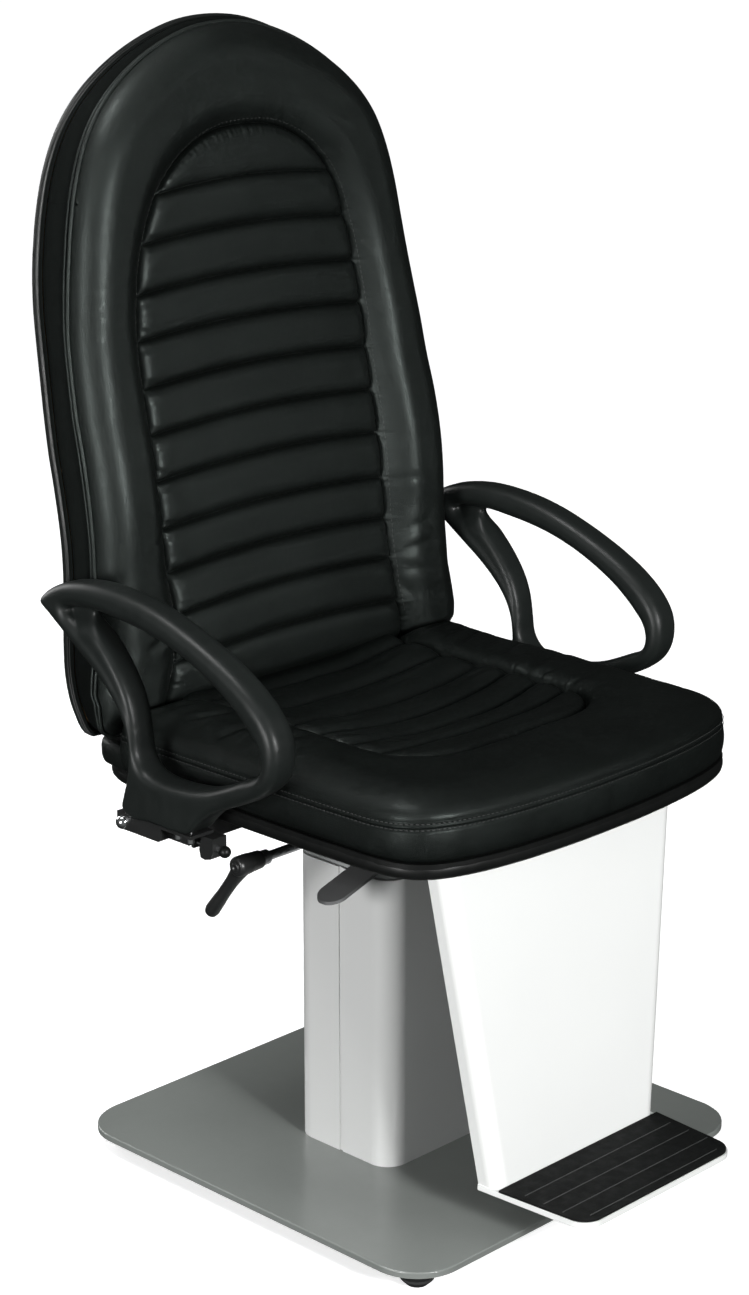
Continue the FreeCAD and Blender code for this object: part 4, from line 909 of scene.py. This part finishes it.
SEAT_WRINKLES = [
    ([(177, 93), (192, 98), (204, 102), (226, 109)], 2.6, 4.5), ([(213, 110), (232, 103)], 1.8, 3.5),
    ([(174, 31), (194, 37), (212, 42), (237, 50)], 2.4, 5.0), ([(154, -26), (174, -22), (196, -17), (240, -9)], 1.7, 6.0),
    ([(178, 62), (200, 68), (222, 78)], 1.4, 5.0), ([(186, 130), (208, 128), (232, 136)], 2.2, 4.5),
    ([(176, 150), (198, 158), (226, 160)], 2.4, 5.0), ([(170, 118), (186, 120), (200, 116)], 1.5, 3.5),
    ([(-177, 93), (-200, 100), (-226, 107)], 2.0, 4.5), ([(-174, 36), (-200, 44), (-237, 50)], 2.0, 5.0),
    ([(-160, -20), (-190, -16), (-236, -8)], 1.4, 6.0), ([(-176, 140), (-200, 148), (-228, 146)], 2.0, 5.0),
    ([(150, -40), (166, -48), (186, -50)], 1.1, 4.5), ([(149, -90), (168, -94), (186, -90)], 0.9, 4.5),
    ([(140, -60), (128, -66), (112, -70)], 1.2, 3.0), ([(-140, -30), (-120, -38), (-100, -41)], 1.4, 3.0),
    ([(-120, -70), (-100, -80), (-84, -84)], 1.3, 3.0), ([(60, 120), (82, 128), (110, 128)], 1.3, 4.0),
    ([(-60, 70), (-30, 74), (0, 72)], 1.3, 4.0), ([(-130, 120), (-100, 128), (-70, 128)], 1.4, 4.0),
    ([(20, 60), (50, 66), (84, 66)], 1.0, 4.0), ([(-110, 10), (-84, 4), (-60, 4)], 1.2, 3.5),
    ([(90, 10), (112, 16), (134, 14)], 1.2, 3.5), ([(-40, -60), (-10, -64), (20, -60)], 1.0, 3.5),
]
SEAT_WRINKLES = [([(x, -y) for x, y in pts], d, w) for pts, d, w in SEAT_WRINKLES]


def sseam_u(v):
    return np.interp(-v, -SSEAM[:, 1], SSEAM[:, 0])


def bow(v):
    return np.interp(v, [-200, -100, -40, 5, 90, 160], [2, 2, 5, 14, 20, 6])


def z_edge(v):
    return 505.5 + 4.0 * smooth((v - 180.0) / 90.0)


def seat_height(P):
    """Top of the seat cushion at (x, -y)."""
    x, v = P[:, 0], P[:, 1]
    d, _ = loop_dist(P, SCUT)
    A = np.stack([np.abs(x), v], 1)
    ds, s = loop_dist(A, SSEAM, closed=False)
    inner = (np.abs(x) < sseam_u(np.clip(v, -187.9, 159.9))) & (v < 160)
    ze = z_edge(v)
    crown = 531.0 + 2.5 * np.exp(-((v + 185) / 45.0) ** 2)
    top = ze + (crown - ze) * E(d / 50.0)
    bol = 521.0 + (top - 521.0) * np.where(top > 521.0, 0.2 + 0.8 * E(ds / 30.0), 1.0)
    q = np.clip(1 - (x / np.maximum(sseam_u(v), 1.0)) ** 2, 0, 1)
    vv = v - bow(v) * q
    j = np.clip(np.searchsorted(SCHD, vv) - 1, 0, len(SCHD) - 2)
    lo, hi = SCHD[j], SCHD[j + 1]
    tau = np.clip((vv - lo) / (hi - lo), 0, 1)
    rib = 1 - np.abs(2 * tau - 1) ** 3.2
    near = np.minimum(np.abs(vv - lo), np.abs(hi - vv))
    front = j == len(SCHD) - 2
    rib = np.where(front, E((vv - lo) / 26.0), rib)
    near = np.where(front, np.abs(vv - lo), near)
    dish = 8.0 * smooth(ds / 110.0)
    tuck = np.sin(x * 0.79 + j * 1.9) * 0.4 + np.sin(x * 0.43 + j * 2.3) * 0.45
    quilt = (517.6 - dish + 8.6 * rib * (0.06 + 0.94 * E(ds / 16.0)) - 2.4 * np.exp(-(near / 1.3) ** 2) * smooth(ds / 3.0)
             + tuck * np.exp(-(near / 5.5) ** 2))
    h = np.where(inner, quilt, bol)
    h = h - 5.0 * np.exp(-(ds / 2.5) ** 2) - 1.6 * np.exp(-(ds / 7.0) ** 2)
    pucker = np.sin(s * 430.0) * 0.3 + np.sin(s * 277.0 + 0.7) * 0.28
    h = h + pucker * np.exp(-(ds / 9.0) ** 2) * smooth(ds / 2.0)
    soft = smooth(d / 22.0)
    return h + soft * (seat_waves(P) + seat_fine(P) + crease(P, SEAT_WRINKLES))


knots = [88.0, 48.0, 5.0, -38.0, -98.0, -160.0, -188.0]
G3, nf = sheet_half(SCUT, SSEAM, 88.0, -188.0, knots, 25, 4.0, 36, 54)


def bend(G, sgn):
    P = G.reshape(-1, 2).copy()
    q = np.clip(1 - (P[:, 0] / np.maximum(sseam_u(P[:, 1]), 1.0)) ** 2, 0, 1)
    k = smooth((P[:, 1] + 188.0) / 40.0) * (1 - smooth((P[:, 1] - 88.0) / 66.0))
    P[:, 1] += bow(P[:, 1]) * q * k
    P[:, 0] *= sgn
    return P.reshape(G.shape)


b = Builder()
for sgn in (1, -1):
    P = bend(G3, sgn)
    h = seat_height(P.reshape(-1, 2)).reshape(P.shape[:2])
    b.grid(np.stack([P[..., 0], -P[..., 1], h], -1), 0, flip=sgn > 0)
edge = np.vstack([G3[:, -1, :], G3[-1, ::-1, :][1:]])
loop = np.vstack([edge, (edge * [-1, 1])[::-1][1:-1]])
inward = offset_loop(loop, 1.0) - loop
inward /= np.maximum(np.linalg.norm(inward, axis=1)[:, None], 1e-9)
zt = seat_height(loop)
prof = [(0.03, -0.1), (0.055, 0.7), (0.075, -0.7), (0.10, 0.9), (0.14, 1.1), (0.165, 0.9), (0.19, -0.7), (0.21, 0.9), (0.3, 1.8), (0.45, 2.6), (0.6, 2.8), (0.75, 2.3), (0.88, 1.2), (0.95, 0.0), (1.0, -2.4)]
rings = [np.stack([loop[:, 0], -loop[:, 1], zt], 1)]
wall_wave = Waves([(60, 140, 0.6), (18, 40, 0.25)])
arc = np.concatenate([[0], np.cumsum(np.linalg.norm(np.diff(loop, axis=0), axis=1))])
ztop = z_edge(loop[:, 1])
rear_side = loop[:, 1] < -187.0
for q, out in prof:
    zz = ztop - (ztop - 464.3) * q
    wv = wall_wave(np.stack([arc, zz], 1)) * np.sin(math.pi * q)
    o = np.where(rear_side, np.minimum(out, 0.6), out + wv)
    p = loop - inward * o[:, None]
    rings.append(np.stack([p[:, 0], -p[:, 1], zz], 1))
b.grid(np.stack(rings, 1), 1, closed=True, flip=True)
under = np.stack([np.zeros(len(loop)), -np.clip(loop[:, 1], -150, 200), np.full(len(loop), 464.3)], 1)
b.grid(np.stack([rings[-1], (rings[-1] + under) / 2, under], 1), 1, closed=True, flip=True)
# lower ledge of the cushion that carries on under the backrest
led = offset_loop(SEATC, 2.0)
led = led[(led[:, 1] > 150)]
led = led[np.argsort(-led[:, 0])]
led = resample(led, 5.0, closed=False)
z_l = [(464.3, -1.5), (470, 0.2), (480, 0.4), (485.5, -0.6), (488.2, -2.6), (489.0, -6.0)]
lc = led.mean(0)
rows_l = []
for zz, o in z_l:
    t = np.gradient(led, axis=0)
    t /= np.linalg.norm(t, axis=1)[:, None]
    nn = np.stack([t[:, 1], -t[:, 0]], 1)
    nn *= np.sign((nn * (led - [0, 150])).sum(1))[:, None]
    p = led + nn * o
    rows_l.append(np.stack([p[:, 0], p[:, 1], np.full(len(led), zz)], 1))
rows_l.append(np.stack([led[:, 0] * 0.96, np.full(len(led), 178.0), np.full(len(led), 489.0)], 1))
b.grid(np.stack(rows_l, 1), 1)
seat_cushion = b.build("seat_cushion_soft", [M["seat_top_leather_shade"], M["seat_wall_leather_shade"]])
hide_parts("seat_cushion")
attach(seat_cushion, "seat")

# double row of stitches round the top of the seat's border, and the bead of the seat pan
b = Builder()
for q, o in ((0.055, 1.3), (0.20, 1.6)):
    zz = ztop - (ztop - 464.3) * q
    keep = loop[:, 1] > -186.0
    p = loop - inward * o
    path = np.stack([p[:, 0], -p[:, 1], zz], 1)
    nrm = np.stack([-inward[:, 0], inward[:, 1], np.zeros(len(loop))], 1)
    i0 = int(np.argmax(~keep)) if (~keep).any() else 0
    path, nrm, keep = np.roll(path, -i0, 0), np.roll(nrm, -i0, 0), np.roll(keep, -i0, 0)
    stitches(b, path[keep], nrm[keep], 5.4, 3.9, 0.62, 0, closed=False)
st = b.build("seat_stitching", [M["thread"]])
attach(st, "seat")

b = Builder()
bead = resample(np.column_stack([offset_loop(PANC, 4.3), np.full(len(PANC), 455.2)]), 5.0)
tube(b, bead, 4.9, 0, seg=14, ry=8.6)
bead_o = b.build("seat_pan_bead", [M["black_plastic"]])
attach(bead_o, "seat")


# ------------------------------------------------------------------ armrests
ARM_OUT = [(-113.5, 563), (-110.5, 578.2), (-103.5, 590.8), (-93.5, 602.5), (-80.2, 613.9), (-63.2, 625.4), (-41.2, 637.3), (-12.3, 650.2), (17, 661.4),
           (51, 672.2), (80.6, 678.9), (110.2, 682.9), (140, 684.7), (165, 684), (190, 680.5), (210, 675.5), (226, 668.5), (238, 660.5), (244.5, 654),
           (245, 648.5), (239.5, 644), (230, 638.2), (217.5, 629.8), (201, 618.8), (182, 606.3), (163.5, 594), (146.6, 581), (131.9, 567.1), (120.3, 552),
           (112.6, 535.6), (109.3, 518.1), (108.8, 500.6), (110.2, 484.7), (114.6, 466), (117, 453), (113, 448.3), (70, 447), (30, 447), (17, 449),
           (7.4, 458.4), (-5.8, 470.6), (-19, 479.5), (-38, 488.3), (-64, 500.2), (-86, 512.8), (-100.2, 524.6), (-108.6, 537), (-112.6, 549.5)]
ARM_IN = [(-90, 551), (-85.6, 565.6), (-74.7, 578.1), (-61, 590.3), (-44, 602.9), (-22.6, 615.1), (2.4, 627.1), (29.4, 637.2), (58.4, 645.2), (89.2, 650.8),
          (119.5, 654.3), (141.8, 655.8), (158, 655.3), (165.5, 651.5), (162, 642.5), (150.5, 629.5), (135.2, 614), (121.2, 597.1), (109.6, 579),
          (101.8, 558.7), (97.6, 535), (94.2, 512), (82.5, 498.5), (64, 494), (45, 493.6), (24.8, 495), (2.7, 498.4), (-18.1, 504.6), (-40, 514),
          (-60, 523.4), (-76.5, 530.5), (-87, 539)]
# the same opening, carried on into the recess between the two rear curves
ARM_REC = [(-90, 551), (-85.6, 565.6), (-74.7, 578.1), (-61, 590.3), (-44, 602.9), (-22.6, 615.1), (2.4, 627.1), (29.4, 637.2), (58.4, 645.2), (89.2, 650.8),
           (119.5, 654.3), (141.8, 656.3), (160, 656.6), (178, 656.0), (194, 653.6), (203, 650), (200, 645), (188, 637.5), (171, 627), (153, 615),
           (136, 601.5), (121.5, 586), (109.6, 568), (101.8, 551), (98.0, 532), (94.2, 512), (82.5, 498.5), (64, 494), (45, 493.6), (24.8, 495), (2.7, 498.4),
           (-18.1, 504.6), (-40, 514), (-60, 523.4), (-76.5, 530.5), (-87, 539)]
HALF_W = 19.0


def plate_mesh(name, loops, half):
    """Closed plate from outlines in (y, z), from -half to half in x."""
    cu = bpy.data.curves.new(name, "CURVE")
    cu.dimensions = "2D"
    cu.fill_mode = "BOTH"
    cu.extrude = half
    for pts in loops:
        sp = cu.splines.new("POLY")
        sp.points.add(len(pts) - 1)
        sp.use_cyclic_u = True
        for i, (p, q) in enumerate(pts):
            sp.points[i].co = (p, q, 0, 1)
    o = bpy.data.objects.new(name, cu)
    S.collection.objects.link(o)
    dg = bpy.context.evaluated_depsgraph_get()
    me = bpy.data.meshes.new_from_object(o.evaluated_get(dg))
    bpy.data.objects.remove(o)
    bpy.data.curves.remove(cu)
    b = bmesh.new()
    b.from_mesh(me)
    bmesh.ops.remove_doubles(b, verts=b.verts, dist=1e-4)
    b.to_mesh(me)
    b.free()
    return me


def remeshed(me, size, smooth_n=0, factor=0.5):
    o = bpy.data.objects.new("tmp", me)
    S.collection.objects.link(o)
    r = o.modifiers.new("r", "REMESH")
    r.mode = "VOXEL"
    r.voxel_size = size
    if smooth_n:
        s = o.modifiers.new("s", "SMOOTH")
        s.factor = factor
        s.iterations = smooth_n
    dg = bpy.context.evaluated_depsgraph_get()
    out = bpy.data.meshes.new_from_object(o.evaluated_get(dg))
    bpy.data.objects.remove(o)
    return out


def verts_of(me):
    v = np.empty(len(me.vertices) * 3)
    me.vertices.foreach_get("co", v)
    return v.reshape(-1, 3)


def set_verts(me, v):
    me.vertices.foreach_set("co", v.reshape(-1))
    me.update()


def rounded(me, loops, half, r_of):
    """Round a remeshed plate's section: the flat faces fall away towards the outlines."""
    v = verts_of(me)
    P = v[:, :2]
    d = np.full(len(P), 1e9)
    for L in loops:
        d = np.minimum(d, loop_dist(P, np.array(L))[0])
    r = r_of(P)
    hx = (half - r) + np.sqrt(np.maximum(0, r**2 - (r - np.minimum(d, r)) ** 2))
    face = np.abs(v[:, 2]) > half - 1.0
    v[:, 2] = np.where(face, np.sign(v[:, 2]) * hx, v[:, 2] * (half - r) / half)
    set_verts(me, v)
    return me


o_loop = closed_curve(ARM_OUT, 3.0)
i_loop = closed_curve(ARM_REC, 3.0)
hole = closed_curve(ARM_IN, 3.0)
core = remeshed(plate_mesh("arm_core", [o_loop, i_loop], HALF_W), 1.9)


def arm_r(P):
    return np.interp(P[:, 1], [447, 470, 500, 560], [3.5, 5.0, 10.5, 12.0])


core = rounded(core, [o_loop, i_loop], HALF_W, arm_r)
web = remeshed(plate_mesh("arm_web", [offset_loop(o_loop, 9.0), hole], 17.0), 2.2)
web = rounded(web, [hole], 17.0, lambda P: np.full(len(P), 9.0))
wv = verts_of(web)
under_bar = open_curve([(60, 645.5), (89.2, 651), (119.5, 655), (141.8, 657), (160, 657.5), (178, 656.5), (194, 653.6), (206, 649)], 3.0)
du, _ = loop_dist(wv[:, :2], under_bar, closed=False)
wv[:, 2] *= (5.0 + 12.0 * smooth((du - 3.0) / 30.0)) / 17.0
set_verts(web, wv)
jb = bmesh.new()
jb.from_mesh(core)
jb.from_mesh(web)
joined = bpy.data.meshes.new("arm_joined")
jb.to_mesh(joined)
jb.free()
arm = remeshed(joined, 1.7, smooth_n=9, factor=0.5)
av = verts_of(arm)
for side_name, xc, sg in (("right", -297.0, -1.0), ("left", 297.0, 1.0)):
    me = arm.copy()
    me.name = "arm_pad_soft_" + side_name
    v = np.stack([(xc + sg * av[:, 2]) / 1000.0, (av[:, 0] + SHIFT) / 1000.0, av[:, 1] / 1000.0], 1)
    set_verts(me, v)
    me.materials.clear()
    me.materials.append(M["arm_foam"].m)
    bb = bmesh.new()
    bb.from_mesh(me)
    bmesh.ops.recalc_face_normals(bb, faces=bb.faces)
    bb.to_mesh(me)
    bb.free()
    me.polygons.foreach_set("use_smooth", [True] * len(me.polygons))
    o = bpy.data.objects.new("arm_pad_soft_" + side_name, me)
    S.collection.objects.link(o)
    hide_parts("arm_pad_" + side_name)
    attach(o, "armrest_" + side_name)


# ------------------------------------------------------------------ clamping handle
def lathe(b, origin, direction, profile, mat=0, seg=28):
    """Turned shape: profile is (distance along the axis, radius)."""
    a = Vector(direction).normalized()
    u = a.orthogonal().normalized()
    w = a.cross(u)
    G = []
    for s, r in profile:
        c = Vector(origin) + a * s
        G.append([tuple(c + (u * math.cos(t) + w * math.sin(t)) * r) for t in np.linspace(0, 2 * math.pi, seg, endpoint=False)])
    G = np.array(G)
    G = np.concatenate([G, G[:, :1]], 1)
    b.grid(G, mat)


LY, LZ = 6.0, 400.0
b = Builder()
lathe(b, (-221.3, LY, LZ), (-1, 0, 0), [(0, 0.01), (0, 8.4), (0.7, 9.3), (2.5, 9.8), (8, 10.0), (15, 10.4), (19, 11.0), (32, 11.0), (34.6, 10.2), (35.7, 8.8), (35.7, 0.01)])
L = math.hypot(55.0 - LY, 336.0 - LZ)
lathe(b, (-245.5, LY, LZ), (-0.02, 49.0, -64.0), [(0, 0.01), (0, 9.4), (8, 9.6), (16, 8.4), (30, 7.2), (50, 7.0), (66, 7.7), (L - 1, 8.1), (L + 4, 7.0), (L + 6.6, 4.6), (L + 7.8, 0.01)])
h0 = b.build("handle_raw", [M["handle_metal"]])
hm = remeshed(h0.data, 0.0008, smooth_n=5, factor=0.5)
bpy.data.objects.remove(h0)
hm.name = "lock_handle_cast"
hm.materials.clear()
hm.materials.append(M["handle_metal"].m)
hm.polygons.foreach_set("use_smooth", [True] * len(hm.polygons))
handle = bpy.data.objects.new("lock_handle_cast", hm)
S.collection.objects.link(handle)
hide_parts("lock_handle")
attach(handle, "swivel_lock_handle")
# release button in the middle of the hub
b = Builder()
lathe(b, (-256.4, LY, LZ), (-1, 0, 0), [(0, 0.01), (0, 5.4), (1.2, 5.4), (1.9, 4.8), (2.1, 3.0), (1.2, 2.6), (1.2, 0.01)], seg=24)
btn = b.build("lock_handle_button", [M["painted_black"]])
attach(btn, "swivel_lock_handle")

# ------------------------------------------------------------------ ribs on the footplate's tread, in a lighter rubber that paints their ridge highlights
b = Builder()
for yy in (-278.0, -303.5, -329.0, -353.5):
    w = 119.0 if yy > -350 else 104.0
    xs = np.linspace(-w, w, 60)
    path = np.stack([xs, np.full(60, yy), np.full(60, 75.35)], 1)
    tube(b, path, 0.75, 0, seg=8, closed=False, ry=0.55)
ribs = b.build("tread_ribs", [M["rib_rubber_highlight"]])
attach(ribs, "seat")
